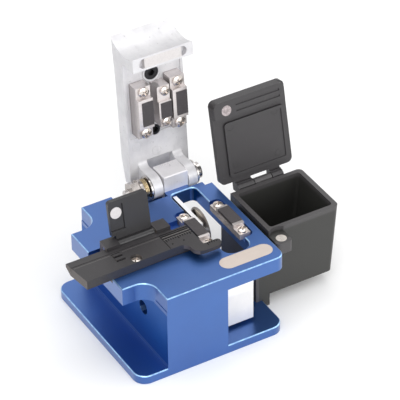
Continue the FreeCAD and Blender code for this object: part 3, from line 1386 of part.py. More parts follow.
# ================================================================ the whole object
def single_parts():
    """Every piece that appears once, by node name."""
    return {
        "body": body(),
        "strike_plate": strike_plate(),
        "hinge_block": hinge_block(),
        "hinge_bolt": hinge_bolt(),
        "hinge_washer_left": hinge_washer_left(),
        "hinge_washer_right": hinge_washer_right(),
        "hinge_spring_ring": hinge_spring_ring(),
        "hinge_nut": hinge_nut(),
        "lever": lever(),
        "lever_magnet": lever_magnet(),
        "anvil_bracket": anvil_bracket(),
        "anvil_pad": anvil_pad(),
        "rail": rail(),
        "rail_truck": rail_truck(),
        "slider": slider(),
        "blade": blade(),
        "blade_screw": blade_screw(),
        "fibre_holder": fibre_holder(),
        "holder_screw": holder_screw(),
        "holder_flap": holder_flap(),
        "flap_magnet": flap_magnet(),
        "flap_pin": flap_pin(),
        "scrap_box": scrap_box(),
        "box_magnet": box_magnet(),
        "box_lid": box_lid(),
        "lid_magnet": lid_magnet(),
        "lid_pin": lid_pin(),
    }


def repeated_parts():
    """The pieces made in sets: clamps, pads and screws."""
    parts = {}
    for side, centre in clamp_centres().items():
        parts[f"lower_clamp_{side}"] = lower_clamp(centre)
        parts[f"lower_pad_{side}"] = lower_pad(centre)
        parts[f"upper_clamp_{side}"] = upper_clamp(centre)
        parts[f"upper_pad_{side}"] = upper_pad(centre)
        for end, y in clamp_screw_offsets().items():
            parts[f"lower_screw_{side}_{end}"] = lower_screw(centre, y)
        for end, reach in zip(("near", "far"), clamp_screw_reaches()):
            parts[f"upper_screw_{side}_{end}"] = upper_screw(sum(clamp_span(centre)) / 2, reach)
    for end, reach in zip(("near", "far"), anvil_screw_reaches()):
        parts[f"anvil_screw_{end}"] = anvil_screw(reach)
    for end, (reach, radius) in zip(("near", "far"), lever_screw_places()):
        parts[f"lever_screw_{end}"] = lever_screw(reach, radius)
    return parts


def main():
    """Build every piece and write it to its own STEP file."""
    os.makedirs(PARTS_FOLDER, exist_ok=True)
    parts = single_parts()
    parts.update(repeated_parts())
    for name, shape in parts.items():
        assert shape.isValid() and shape.Volume > 0, name
        shape.exportStep(f"{PARTS_FOLDER}/{name}.step")
        print(f"{name:24s} solids {len(shape.Solids)} volume {shape.Volume:9.1f}")


main()
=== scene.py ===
"""Looks of a bench fibre cleaver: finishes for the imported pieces, engraved marks, lamps, floor and camera."""

import json
import logging
import math
from dataclasses import dataclass, field
from enum import Enum
from typing import Any, Dict, List, Optional, Sequence, Tuple, Union

import bmesh
import bpy
from mathutils import Matrix, Vector


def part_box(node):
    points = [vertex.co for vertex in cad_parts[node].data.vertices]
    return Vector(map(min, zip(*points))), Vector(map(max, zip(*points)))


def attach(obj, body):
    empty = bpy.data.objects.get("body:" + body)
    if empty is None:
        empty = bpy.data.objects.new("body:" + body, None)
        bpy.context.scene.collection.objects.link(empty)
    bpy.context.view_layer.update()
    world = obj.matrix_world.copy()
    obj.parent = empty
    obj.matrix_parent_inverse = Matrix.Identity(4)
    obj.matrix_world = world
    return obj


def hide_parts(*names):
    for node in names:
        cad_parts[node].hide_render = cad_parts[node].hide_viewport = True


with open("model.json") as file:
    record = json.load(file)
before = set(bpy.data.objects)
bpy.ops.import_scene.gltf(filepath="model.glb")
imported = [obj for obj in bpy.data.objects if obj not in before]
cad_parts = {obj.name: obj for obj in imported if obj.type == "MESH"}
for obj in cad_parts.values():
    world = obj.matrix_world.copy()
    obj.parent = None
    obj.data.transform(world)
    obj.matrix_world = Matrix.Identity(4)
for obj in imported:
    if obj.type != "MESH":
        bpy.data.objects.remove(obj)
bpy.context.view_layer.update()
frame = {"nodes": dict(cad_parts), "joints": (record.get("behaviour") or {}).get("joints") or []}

LOG = logging.getLogger("fibre_cleaver")
Triple = Tuple[float, float, float]
Colour = Triple
Number = Union[int, float]
MM = 0.001
SIDEWAYS = 0.7  # least share of X in the direction of a face that counts as a side wall


def linear(red: Number, green: Number, blue: Number) -> Colour:
    """Turn a display colour into the linear colour that shaders use.

    Args:
        red: red from 0 to 255.
        green: green from 0 to 255.
        blue: blue from 0 to 255.

    Returns:
        The colour as three linear numbers.
    """
    def channel(value: Number) -> float:
        """Linear value of one channel, by the sRGB curve."""
        share = value / 255.0
        return share / 12.92 if share <= 0.04045 else ((share + 0.055) / 1.055) ** 2.4
    return channel(red), channel(green), channel(blue)


def put(name: str, data: Any) -> bpy.types.Object:
    """Put a new object into the scene.

    Args:
        name: name of the object.
        data: its mesh, lamp or camera.

    Returns:
        The object.
    """
    made = bpy.data.objects.new(name, data)
    bpy.context.scene.collection.objects.link(made)
    return made


# ------------------------------------------------------------------ node writing
class Wire:
    """A socket that can be used in ordinary sums."""

    def __init__(self, writer: "NodeWriter", socket: Any) -> None:
        """Keep the writer and the socket."""
        self.writer = writer
        self.socket = socket

    def _maths(self, operation: str, *values: Any, clamp: bool = False) -> "Wire":
        """Add a Math node on these values."""
        settings = {"operation": operation, "use_clamp": clamp}
        return self.writer.node("ShaderNodeMath", settings, dict(enumerate(values)))

    def __add__(self, other: Any) -> "Wire":
        """Sum."""
        return self._maths("ADD", self, other)

    __radd__ = __add__

    def __sub__(self, other: Any) -> "Wire":
        """Difference."""
        return self._maths("SUBTRACT", self, other)

    def __rsub__(self, other: Any) -> "Wire":
        """Difference from a number."""
        return self._maths("SUBTRACT", other, self)

    def __mul__(self, other: Any) -> "Wire":
        """Product."""
        return self._maths("MULTIPLY", self, other)

    __rmul__ = __mul__

    def __truediv__(self, other: Any) -> "Wire":
        """Quotient."""
        return self._maths("DIVIDE", self, other)

    def __mod__(self, other: Any) -> "Wire":
        """Remainder."""
        return self._maths("FLOORED_MODULO", self, other)

    def __gt__(self, other: Any) -> "Wire":
        """One where this wire is the greater."""
        return self._maths("GREATER_THAN", self, other)

    def __lt__(self, other: Any) -> "Wire":
        """One where this wire is the lesser."""
        return self._maths("LESS_THAN", self, other)

    def __pow__(self, other: Any) -> "Wire":
        """Power."""
        return self._maths("POWER", self, other)

    def __abs__(self) -> "Wire":
        """Size without its sign."""
        return self._maths("ABSOLUTE", self)

    def angle(self, run: "Wire") -> "Wire":
        """Angle of the direction that rises by this wire and runs by the other."""
        return self._maths("ARCTAN2", self, run)

    def larger(self, other: "Wire") -> "Wire":
        """The larger of the two wires."""
        return self._maths("MAXIMUM", self, other)

    def clamped(self) -> "Wire":
        """The same value kept from 0 to 1."""
        return self._maths("ADD", self, 0.0, clamp=True)

    def between(self, low: float, high: float) -> "Wire":
        """One where this wire lies between two values."""
        return (self > low) * (self < high)

    def over(self, low: float, high: float) -> "Wire":
        """Smooth rise from 0 to 1.

        Args:
            low: the value up to which the rise stays 0.
            high: the value from which it is 1.

        Returns:
            The rise.
        """
        settings = {"interpolation_type": "SMOOTHSTEP", "clamp": True}
        inputs = {"Value": self, "From Min": low, "From Max": high}
        return self.writer.node("ShaderNodeMapRange", settings, inputs)

    def swing(self, width: float) -> "Wire":
        """A value from 0 to 1 turned into a swing of this width about zero."""
        return (self - 0.5) * width


class NodeWriter:
    """Writes nodes into one tree."""

    def __init__(self, tree: Any) -> None:
        """Keep the tree that the nodes go into."""
        self.tree = tree

    def node(self, kind: str, settings: Dict[str, Any], inputs: Dict[Any, Any], output: Any = 0) -> Wire:
        """Add a node.

        Args:
            kind: Blender's node type.
            settings: the node's own settings; "stops" holds a ramp's stops.
            inputs: values or wires by socket name or number.
            output: name or number of the output that is returned.

        Returns:
            The chosen output as a wire.
        """
        made = self.tree.nodes.new(kind)
        for key, value in settings.items():
            if key == "stops":
                self._set_stops(made, value)
            else:
                setattr(made, key, value)
        for key, value in inputs.items():
            socket = made.inputs[key]
            if isinstance(value, Wire):
                self.tree.links.new(value.socket, socket)
            elif socket.type == "RGBA" and len(value) == 3:
                socket.default_value = (*value, 1.0)
            else:
                socket.default_value = value
        return Wire(self, made.outputs[output])

    @staticmethod
    def _set_stops(ramp: Any, stops: Sequence[Tuple[float, Colour]]) -> None:
        """Give a colour ramp its stops.

        Args:
            ramp: the ramp's node.
            stops: each stop's place from 0 to 1 and its colour.
        """
        elements = ramp.color_ramp.elements
        while len(elements) > 1:
            elements.remove(elements[-1])
        elements[0].position = stops[0][0]
        elements[0].color = (*stops[0][1], 1.0)
        for place, colour in stops[1:]:
            elements.new(place).color = (*colour, 1.0)

    def end(self, kind: str, wire: Wire, socket: Any = "Surface") -> None:
        """Add the tree's closing node, fed by this wire."""
        output = self.tree.nodes.new(kind)
        self.tree.links.new(wire.socket, output.inputs[socket])

    def vector(self, x: Any, y: Any, z: Any) -> Wire:
        """Three values as one vector."""
        return self.node("ShaderNodeCombineXYZ", {}, {"X": x, "Y": y, "Z": z})

    def along(self, vector: Wire, letter: str) -> Wire:
        """A vector's part along one axis."""
        return self.node("ShaderNodeSeparateXYZ", {}, {0: vector}, letter)


@dataclass(frozen=True)
class Waves:
    """A noise, in waves per metre; a stretch gives the waves along each axis, and the scale is then 1."""

    scale: float
    detail: float = 3.0
    roughness: float = 0.55
    stretch: Optional[Triple] = None


@dataclass(frozen=True)
class Patches:
    """Patches of a noise, clear where it is below low and full where it is above high."""

    waves: Waves
    low: float
    high: float


@dataclass(frozen=True)
class Relief:
    """A bump: the height of its noise in metres, and how strongly it shows."""

    depth: float
    strength: float


class Shader(NodeWriter):
    """Writes the nodes of one material."""

    def __init__(self, name: str) -> None:
        """Start an empty material.

        Args:
            name: name of the material.
        """
        self.material = bpy.data.materials.new(name)
        self.material.use_nodes = True
        super().__init__(self.material.node_tree)
        self.tree.nodes.clear()
        self.coords = self.node("ShaderNodeTexCoord", {}, {}, "Object")

    def noise(self, waves: Waves, vector: Optional[Wire] = None) -> Wire:
        """Noise over the object.

        Args:
            waves: the noise.
            vector: where it is read, or None for the object's own coordinates.

        Returns:
            The noise from 0 to 1.
        """
        if vector is None:
            vector = self.stretched(waves.stretch) if waves.stretch else self.coords
        inputs = {"Vector": vector, "Scale": waves.scale, "Detail": waves.detail,
                  "Roughness": waves.roughness}
        return self.node("ShaderNodeTexNoise", {}, inputs, "Fac")

    def patches(self, patches: Patches) -> Wire:
        """Patches from 0 to 1 over the object."""
        return self.noise(patches.waves).over(patches.low, patches.high)

    def scratches(self, cells: float, width: float, stretch: Triple) -> Wire:
        """Thin lines along the borders of stretched cells.

        Args:
            cells: cells per metre.
            width: width of a line as a share of a cell.
            stretch: how the cells are stretched along each axis.

        Returns:
            One on a line, falling to 0 beside it.
        """
        inputs = {"Vector": self.stretched(stretch), "Scale": cells}
        edge = self.node("ShaderNodeTexVoronoi", {"feature": "DISTANCE_TO_EDGE"}, inputs, "Distance")
        return 1.0 - edge.over(0.0, width)

    def stretched(self, scale: Triple) -> Wire:
        """The object's coordinates stretched along each axis."""
        return self.node("ShaderNodeMapping", {}, {"Vector": self.coords, "Scale": scale}, "Vector")

    def axis(self, letter: str) -> Wire:
        """One of the object's coordinates in metres."""
        return self.along(self.coords, letter)

    def normal(self, letter: str) -> Wire:
        """One part of the surface's direction in the object's own axes."""
        return self.along(self.node("ShaderNodeTexCoord", {}, {}, "Normal"), letter)

    def sideways(self) -> Wire:
        """One on side walls, which face left or right."""
        return abs(self.normal("X")) > SIDEWAYS

    def blend(self, share: Any, first: Any, second: Any) -> Wire:
        """Mix two colours."""
        return self.node("ShaderNodeMix", {"data_type": "RGBA"}, {0: share, 6: first, 7: second}, 2)

    def bump(self, height: Wire, relief: Relief) -> Wire:
        """Turn a height into a bumped normal."""
        inputs = {"Height": height, "Distance": relief.depth, "Strength": relief.strength}
        return self.node("ShaderNodeBump", {}, inputs, "Normal")

    def surface(self, **inputs: Any) -> bpy.types.Material:
        """Finish the material with a Principled shader.

        Args:
            inputs: socket values, with spaces in their names written as underscores.

        Returns:
            The finished material.
        """
        named = {key.replace("_", " "): value for key, value in inputs.items()}
        self.end("ShaderNodeOutputMaterial", self.node("ShaderNodeBsdfPrincipled", {}, named, "BSDF"))
        return self.material


class Pattern(NodeWriter):
    """Writes one Geometry Nodes tree and grows plain meshes with it."""

    def __init__(self, name: str, sizes: Dict[str, Any]) -> None:
        """Start a tree with named inputs.

        Args:
            name: name of the tree.
            sizes: each named input with its first value; its kind follows the value's.
        """
        super().__init__(bpy.data.node_groups.new(name, "GeometryNodeTree"))
        self._socket("Geometry", "INPUT", "NodeSocketGeometry")
        for label, value in sizes.items():
            kind = {int: "NodeSocketInt", float: "NodeSocketFloat"}.get(type(value), "NodeSocketVector")
            self._socket(label, "INPUT", kind).default_value = value
        self._socket("Finish", "INPUT", "NodeSocketMaterial")
        self._socket("Geometry", "OUTPUT", "NodeSocketGeometry")
        self.entry = self.tree.nodes.new("NodeGroupInput")

    def _socket(self, label: str, side: str, kind: str) -> Any:
        """Add a socket to the tree's own inputs or outputs."""
        return self.tree.interface.new_socket(label, in_out=side, socket_type=kind)

    def given(self, label: str) -> Wire:
        """One of the tree's named inputs."""
        return Wire(self, self.entry.outputs[label])

    def moved(self, shape: Wire, place: Any = (0, 0, 0), turn: Any = (0, 0, 0)) -> Wire:
        """The shape turned, then moved."""
        inputs = {"Geometry": shape, "Translation": place, "Rotation": turn}
        return self.node("GeometryNodeTransform", {}, inputs)

    def cut(self, shape: Wire, cutter: Wire) -> Wire:
        """The shape with the cutter taken away."""
        inputs = {"Mesh 1": shape, "Mesh 2": cutter}
        return self.node("GeometryNodeMeshBoolean", {"operation": "DIFFERENCE"}, inputs)

    def placed(self, points: Wire, shape: Wire, turn: Any = (0, 0, 0), scale: Any = (1, 1, 1)) -> Wire:
        """The shape set on every point."""
        inputs = {"Points": points, "Instance": shape, "Rotation": turn, "Scale": scale}
        return self.node("GeometryNodeInstanceOnPoints", {}, inputs)

    def circle(self, radius: Wire, steps: Any) -> Wire:
        """A round curve."""
        inputs = {"Resolution": steps, "Radius": radius}
        return self.node("GeometryNodeCurvePrimitiveCircle", {"mode": "RADIUS"}, inputs, "Curve")

    def close(self, shape: Wire) -> None:
        """End the tree with real geometry in its finish.

        Args:
            shape: the geometry or the instances that the tree makes.
        """
        real = self.node("GeometryNodeRealizeInstances", {}, {0: shape})
        inputs = {"Geometry": real, "Material": self.given("Finish")}
        self.end("NodeGroupOutput", self.node("GeometryNodeSetMaterial", {}, inputs), 0)

    def grow(self, name: str, points: Sequence[Vector], values: Dict[str, Any], finish: bpy.types.Material,
             place: Optional[Matrix] = None) -> bpy.types.Object:
        """Run the tree on loose points and keep the result as a plain mesh.

        Args:
            name: name of the piece.
            points: where the repeats stand, in the frame that place turns into the object's.
            values: the tree's named inputs.
            finish: the material of the result.
            place: the frame in which the points and the sizes are given.

        Returns:
            The piece, with its modifier removed and its place in its mesh.
        """
        seeds = bpy.data.meshes.new(name + "_seeds")
        seeds.from_pydata([tuple(point) for point in points], [], [])
        piece = put(name, seeds)
        modifier = piece.modifiers.new("grow", "NODES")
        modifier.node_group = self.tree
        wanted = {**values, "Finish": finish}
        for item in self.tree.interface.items_tree:
            if item.in_out == "INPUT" and item.name in wanted:
                modifier[item.identifier] = wanted[item.name]
        graph = bpy.context.evaluated_depsgraph_get()
        plain = bpy.data.meshes.new_from_object(piece.evaluated_get(graph), depsgraph=graph)
        piece.modifiers.clear()
        piece.data = plain
        plain.name = name
        bpy.data.meshes.remove(seeds)
        if place is not None:
            plain.transform(place)
        return piece


# ------------------------------------------------------------------ finishes
@dataclass(frozen=True)
class AnodisedBlue:
    """Satin blue anodised aluminium: a deep dyed metal under a hazy, finely grained skin, with a painted
    highlight on its upward bevels that is stronger in patches.

    The side walls of the hollow under the top and of the slider's slot have next to no haze.
    """

    colour: Colour = linear(6, 91, 171)
    deep: Colour = linear(2, 80, 156)
    # pale colour of the painted highlight on the bevels
    edge: Colour = linear(165, 212, 250)
    metallic: float = 0.88
    roughness: float = 0.36
    cloud: Waves = Waves(60.0, 2.0)
    cloud_gloss: float = 0.06
    grain: Waves = Waves(9000.0, 2.0, 0.6)
    grain_gloss: float = 0.10
    grain_haze: float = 0.2
    relief: Relief = Relief(0.02 * MM, 0.35)
    # the painted bevel highlight: patches where it is stronger, the tilt of the faces it covers, and its share
    highlight_patches: Patches = Patches(Waves(500.0, 3.0, 0.6), 0.30, 0.62)
    highlight_bevel_tilt: Tuple[float, float] = (0.45, 0.92)
    edge_highlight_share: float = 0.40
    scuff_cells: float = 90.0
    scuff_width: float = 0.012
    scuff_stretch: Triple = (1.0, 3.2, 2.0)
    scuff_gloss: float = 0.08
    scuff_rise: float = 0.5
    scuffed: Patches = Patches(Waves(35.0), 0.52, 0.62)
    haze: float = 0.9
    haze_roughness: float = 0.36
    haze_index: float = 1.78
    hollow_loss: float = 0.92
    hollow_heights: Tuple[float, float] = (5.4 * MM, 28.6 * MM)
    slot_sides: Tuple[float, float] = (12.0 * MM, 24.5 * MM)
    slot_rim: float = 35.6 * MM

    def material(self) -> bpy.types.Material:
        """Build the finish.

        Returns:
            The material.
        """
        make = Shader("blue_anodised")
        cloud = make.noise(self.cloud)
        grain = make.noise(self.grain)
        # painted highlight: bevel faces tilted upwards are blended towards the pale edge colour, more in
        # patches
        bevel = make.normal("Z").between(*self.highlight_bevel_tilt)
        worn = bevel * (self.edge_highlight_share + make.patches(self.highlight_patches) * self.edge_highlight_share)
        tone = make.blend(worn, make.blend(cloud, self.deep, self.colour), self.edge)
        scuff = make.scratches(self.scuff_cells, self.scuff_width, self.scuff_stretch)
        scuff = scuff * make.patches(self.scuffed)
        height = make.axis("Z")
        slot = make.axis("X").between(*self.slot_sides) * (height < self.slot_rim)
        hollow = (height.between(*self.hollow_heights) + slot).clamped() * make.sideways()
        gloss = self.roughness + grain.swing(self.grain_gloss) + cloud.swing(self.cloud_gloss)
        gloss = gloss - scuff * self.scuff_gloss
        return make.surface(
            Base_Color=tone, Metallic=self.metallic,
            Roughness=gloss, Coat_Roughness=self.haze_roughness, Coat_IOR=self.haze_index,
            Coat_Weight=(self.haze + grain.swing(self.grain_haze)) * (1.0 - hollow * self.hollow_loss),
            Normal=make.bump(grain + scuff * self.scuff_rise, self.relief))


@dataclass(frozen=True)
class CastAlloy:
    """Tumbled die-cast alloy: pale, softly mottled, with faint grey smears, dark pits and shallow dents."""

    name: str
    colour: Colour = linear(216, 215, 217)
    shade: Colour = linear(200, 199, 202)
    pit: Colour = linear(128, 127, 131)
    roughness: float = 0.36
    pits: float = 0.4
    metallic: float = 0.15
    cloud: Waves = Waves(110.0, 4.0, 0.6)
    cloud_range: Tuple[float, float] = (0.25, 0.75)
    cloud_gloss: float = 0.18
    smear: Patches = Patches(Waves(1.0, 3.0, 0.6, (520.0, 160.0, 120.0)), 0.52, 0.76)
    smear_share: float = 0.35
    fine: Waves = Waves(2400.0, 3.0, 0.65)
    fine_gloss: float = 0.16
    dents: Waves = Waves(420.0, 2.0, 0.5)
    spots: Patches = Patches(Waves(900.0, 1.0), 0.70, 0.78)
    rises: Triple = (0.6, 1.6, -0.6)
    relief: Relief = Relief(0.05 * MM, 0.5)

    def material(self) -> bpy.types.Material:
        """Build the finish.

        Returns:
            The material.
        """
        make = Shader(self.name)
        cloud = make.noise(self.cloud)
        fine = make.noise(self.fine)
        spots = make.patches(self.spots) * self.pits
        tone = make.blend(cloud.over(*self.cloud_range), self.shade, self.colour)
        tone = make.blend(make.patches(self.smear) * self.smear_share * self.pits, tone, self.pit)
        tone = self._dressed(make, make.blend(spots, tone, self.pit))
        fine_rise, dent_rise, spot_rise = self.rises
        height = fine * fine_rise + make.noise(self.dents) * dent_rise + spots * spot_rise
        gloss = self.roughness + fine.swing(self.fine_gloss) + cloud.swing(self.cloud_gloss)
        return make.surface(Base_Color=tone, Metallic=self.metallic, Roughness=gloss,
                            Normal=make.bump(height, self.relief))

    def _dressed(self, make: Shader, tone: Wire) -> Wire:
        """The tone with what a particular casting adds to it."""
        return tone


@dataclass(frozen=True)
class TopHighlightAlloy(CastAlloy):
    """Cast alloy with a painted highlight on its upper part and painted shade on the side walls of its arm."""

    # painted highlight: the pale colour blended in over these heights
    top_highlight: Colour = linear(250, 250, 252)
    top_highlight_height: Tuple[float, float] = (18.0 * MM, 20.5 * MM)
    # painted shade on the arm's side walls, above its foot and behind its front
    arm_side_shade: Colour = linear(66, 60, 64)
    arm_foot: float = 24.0 * MM
    arm_front: float = 0.0

    def _dressed(self, make: Shader, tone: Wire) -> Wire:
        """The tone with the painted highlight on the upper part and the painted shade on the arm's sides.

        Args:
            make: the writer of the material.
            tone: the casting's own tone.

        Returns:
            The tone of the whole piece.
        """
        height = make.axis("Z")
        # painted highlight on the upper part
        tone = make.blend(height.over(*self.top_highlight_height), tone, self.top_highlight)
        # painted shade on the side walls of the arm
        arm = (height > self.arm_foot) * (make.axis("Y") > self.arm_front)
        return make.blend(make.sideways() * arm, tone, self.arm_side_shade)


@dataclass(frozen=True)
class MachinedMetal:
    """Machined metal with fine tool lines along one axis, faint stains and, where asked, painted shade on its
    side walls.
    """

    name: str
    colour: Colour
    shade: Colour
    roughness: float = 0.28
    lines: Triple = (40.0, 9000.0, 9000.0)
    metallic: float = 1.0
    # painted shade on the side walls: its colour and its share
    side: Colour = linear(96, 86, 82)
    side_shade_share: float = 0.0
    cloud: Waves = Waves(220.0, 2.0)
    cloud_gloss: float = 0.10
    line_share: float = 0.6
    line_gloss: float = 0.14
    stain: Patches = Patches(Waves(640.0, 3.0, 0.6), 0.58, 0.74)
    stain_share: float = 0.3
    stain_gloss: float = 0.05
    relief: Relief = Relief(0.01 * MM, 0.5)

    def material(self) -> bpy.types.Material:
        """Build the finish.

        Returns:
            The material.
        """
        make = Shader(self.name)
        tool = make.noise(Waves(1.0, 2.0, 0.6, self.lines))
        cloud = make.noise(self.cloud)
        stain = make.patches(self.stain)
        light = (tool * self.line_share + cloud * (1.0 - self.line_share)).clamped()
        tone = make.blend(light, self.shade, self.colour)
        tone = make.blend(stain * self.stain_share, tone, self.shade)
        # painted shade on faces turned left or right
        tone = make.blend(make.sideways() * self.side_shade_share, tone, self.side)
        gloss = self.roughness + tool.swing(self.line_gloss) + cloud.swing(self.cloud_gloss)
        gloss = gloss + stain * self.stain_gloss
        return make.surface(Base_Color=tone, Metallic=self.metallic, Roughness=gloss,
                            Normal=make.bump(tool, self.relief))


@dataclass(frozen=True)
class GroundCarbide:
    """Blade ground on a turning wheel: fans of painted sheen and reflection, light and dark, run round its
    middle, with a paler painted highlight ring at its rim.
    """

    # painted sheen and reflection: a colour for each angle round the hub, with narrow glints and a bluish
    # reflected band
    sheen_fans: Tuple[Tuple[float, Colour], ...] = (
        (0.00, linear(84, 78, 74)), (0.14, linear(150, 142, 134)), (0.30, linear(96, 88, 84)),
        (0.49, linear(70, 62, 58)), (0.57, linear(82, 72, 66)), (0.59, linear(222, 214, 202)),
        (0.61, linear(66, 58, 54)), (0.66, linear(54, 48, 44)), (0.69, linear(198, 186, 168)),
        (0.77, linear(182, 170, 154)), (0.82, linear(112, 100, 94)), (0.90, linear(92, 84, 82)),
        (0.93, linear(232, 228, 222)), (0.95, linear(46, 50, 62)), (1.00, linear(60, 62, 72)),
    )
    waver: Waves = Waves(900.0, 2.0)
    waver_share: float = 0.03
    # painted highlight ring on the rim: its colour, the radius where it starts and its share
    edge: Colour = linear(178, 170, 162)
    rim_highlight_radius: Tuple[float, float] = (7.1 * MM, 7.2 * MM)
    rim_highlight_share: float = 0.6
    hub: Tuple[float, float] = (5.3 * MM, 30.4 * MM)  # the blade's middle along Y and Z
    rings: Waves = Waves(1.0, 2.0, 0.6)
    rings_per_metre: float = 9000.0
    rings_per_turn: float = 0.4
    ring_gloss: float = 0.16
    relief: Relief = Relief(0.01 * MM, 0.4)
    roughness: float = 0.28
    metallic: float = 0.5

    def material(self) -> bpy.types.Material:
        """Build the finish.

        Returns:
            The material.
        """
        make = Shader("blade_carbide")
        run = make.axis("Y") - self.hub[0]
        rise = make.axis("Z") - self.hub[1]
        turn = rise.angle(run)
        radius = (run * run + rise * rise) ** 0.5
        share = turn * (0.5 / math.pi) + 0.5 + make.noise(self.waver).swing(self.waver_share)
        # painted sheen chosen by the angle round the hub
        sheen_fan = make.node("ShaderNodeValToRGB", {"stops": self.sheen_fans}, {0: share})
        where = make.vector(radius * self.rings_per_metre, turn * self.rings_per_turn, 0.0)
        rings = make.noise(self.rings, where)
        # painted highlight ring past the rim radius
        tone = make.blend(radius.over(*self.rim_highlight_radius) * self.rim_highlight_share, sheen_fan, self.edge)
        gloss = self.roughness + rings.swing(self.ring_gloss)
        return make.surface(Base_Color=tone, Metallic=self.metallic, Roughness=gloss,
                            Normal=make.bump(rings, self.relief))


@dataclass(frozen=True)
class ShadedHollow:
    """The inside of an open box that is painted darker as shade: its four walls, its rim, how far below the rim
    the painted shade fades in, its floor.
    """

    left: float
    right: float
    front: float
    back: float
    rim: float
    rim_depth: float = 1.2 * MM
    floor: float = 1.0 * MM

    def inside(self, make: Shader) -> Wire:
        """One where the shade is painted: within the walls, above the floor and below the rim.

        Args:
            make: the writer of the material.

        Returns:
            The mask.
        """
        height = make.axis("Z")
        across = make.axis("X").between(self.left, self.right) * make.axis("Y").between(self.front, self.back)
        return across * (1.0 - height.over(self.rim - self.rim_depth, self.rim)) * (height > self.floor)


@dataclass(frozen=True)
class MouldedPlastic:
    """Black moulded plastic with a spark-eroded grain, faint flow marks and paler rubbed patches.

    A hollow inside it can be painted darker as shade, and its left end can take a paler tone of painted light.
    """

    name: str = "black_plastic"
    colour: Colour = linear(52, 50, 52)
    shade: Colour = linear(43, 41, 43)
    rubbed: Colour = linear(80, 77, 78)
    roughness: float = 0.44
    hollow: Optional[ShadedHollow] = None
    # painted shade inside the hollow
    hollow_shade: Colour = linear(46, 46, 44)
    # paler painted light tone for faces turned left, and how far they must turn
    end: Optional[Colour] = None
    lit_end_facing: float = -0.5
    cloud: Waves = Waves(70.0, 2.0)
    cloud_gloss: float = 0.08
    cloud_share: float = 0.6
    flow: Waves = Waves(1.0, 2.0, 0.5, (60.0, 60.0, 220.0))
    grain: Waves = Waves(3600.0, 2.0, 0.5)
    grain_gloss: float = 0.18
    relief: Relief = Relief(0.07 * MM, 0.6)
    worn: Patches = Patches(Waves(260.0, 4.0, 0.7), 0.60, 0.80)
    worn_share: float = 0.35
    worn_gloss: float = 0.05

    def material(self) -> bpy.types.Material:
        """Build the finish.

        Returns:
            The material.
        """
        make = Shader(self.name)
        cloud = make.noise(self.cloud)
        grain = make.noise(self.grain)
        worn = make.patches(self.worn)
        light = (cloud * self.cloud_share + make.noise(self.flow) * (1.0 - self.cloud_share)).clamped()
        tone = make.blend(light, self.shade, self.colour)
        tone = make.blend(worn * self.worn_share, tone, self.rubbed)
        # painted shade inside the box's hollow
        if self.hollow is not None:
            tone = make.blend(self.hollow.inside(make), tone, self.hollow_shade)
        # painted light on faces turned left
        if self.end is not None:
            tone = make.blend(make.normal("X") < self.lit_end_facing, tone, self.end)
        gloss = self.roughness + grain.swing(self.grain_gloss) + cloud.swing(self.cloud_gloss)
        return make.surface(Base_Color=tone, Specular_IOR_Level=0.5, Roughness=gloss - worn * self.worn_gloss,
                            Normal=make.bump(grain, self.relief))


@dataclass(frozen=True)
class PadRubber:
    """Matt black rubber with a faint dusty bloom."""

    colour: Colour = linear(58, 54, 56)
    bloom: Colour = linear(82, 78, 79)
    bloom_range: Tuple[float, float] = (0.45, 0.75)
    dust: Waves = Waves(1500.0, 4.0, 0.7)
    dust_share: float = 0.5
    dust_gloss: float = 0.2
    relief: Relief = Relief(0.03 * MM, 0.5)
    roughness: float = 0.62

    def material(self) -> bpy.types.Material:
        """Build the finish.

        Returns:
            The material.
        """
        make = Shader("pad_rubber")
        dust = make.noise(self.dust)
        tone = make.blend(dust.over(*self.bloom_range) * self.dust_share, self.colour, self.bloom)
        return make.surface(Base_Color=tone, Roughness=self.roughness + dust.swing(self.dust_gloss),
                            Normal=make.bump(dust, self.relief))


@dataclass(frozen=True)
class EngravedAndShadeBlack:
    """The dark of an engraved line or a blind hole in black plastic, and of the shadow strips painted at the
    foot of the holder's cross ridges.
    """

    colour: Colour = linear(16, 15, 16)
    shade: Colour = linear(9, 9, 9)
    grit: Waves = Waves(2600.0, 2.0, 0.6)
    grit_gloss: float = 0.2
    relief: Relief = Relief(0.03 * MM, 0.4)
    roughness: float = 0.7

    def material(self) -> bpy.types.Material:
        """Build the finish.

        Returns:
            The material.
        """
        make = Shader("engraved_black")
        grit = make.noise(self.grit)
        return make.surface(Base_Color=make.blend(grit, self.shade, self.colour), Specular_IOR_Level=0.2,
                            Roughness=self.roughness + grit.swing(self.grit_gloss),
                            Normal=make.bump(grit, self.relief))


@dataclass(frozen=True)
class PlatedMagnet:
    """Nickel-plated magnet, softly blotched."""

    name: str
    colour: Colour
    shade: Colour
    metallic: float = 0.45
    roughness: float = 0.38
    blotch: Waves = Waves(1300.0, 3.0, 0.6)
    blotch_range: Tuple[float, float] = (0.35, 0.65)
    blotch_gloss: float = 0.2
    relief: Relief = Relief(0.01 * MM, 0.4)

    def material(self) -> bpy.types.Material:
        """Build the finish.

        Returns:
            The material.
        """
        make = Shader(self.name)
        blotch = make.noise(self.blotch)
        tone = make.blend(blotch.over(*self.blotch_range), self.shade, self.colour)
        gloss = self.roughness + blotch.swing(self.blotch_gloss)
        return make.surface(Base_Color=tone, Metallic=self.metallic, Roughness=gloss,
                            Normal=make.bump(blotch, self.relief))


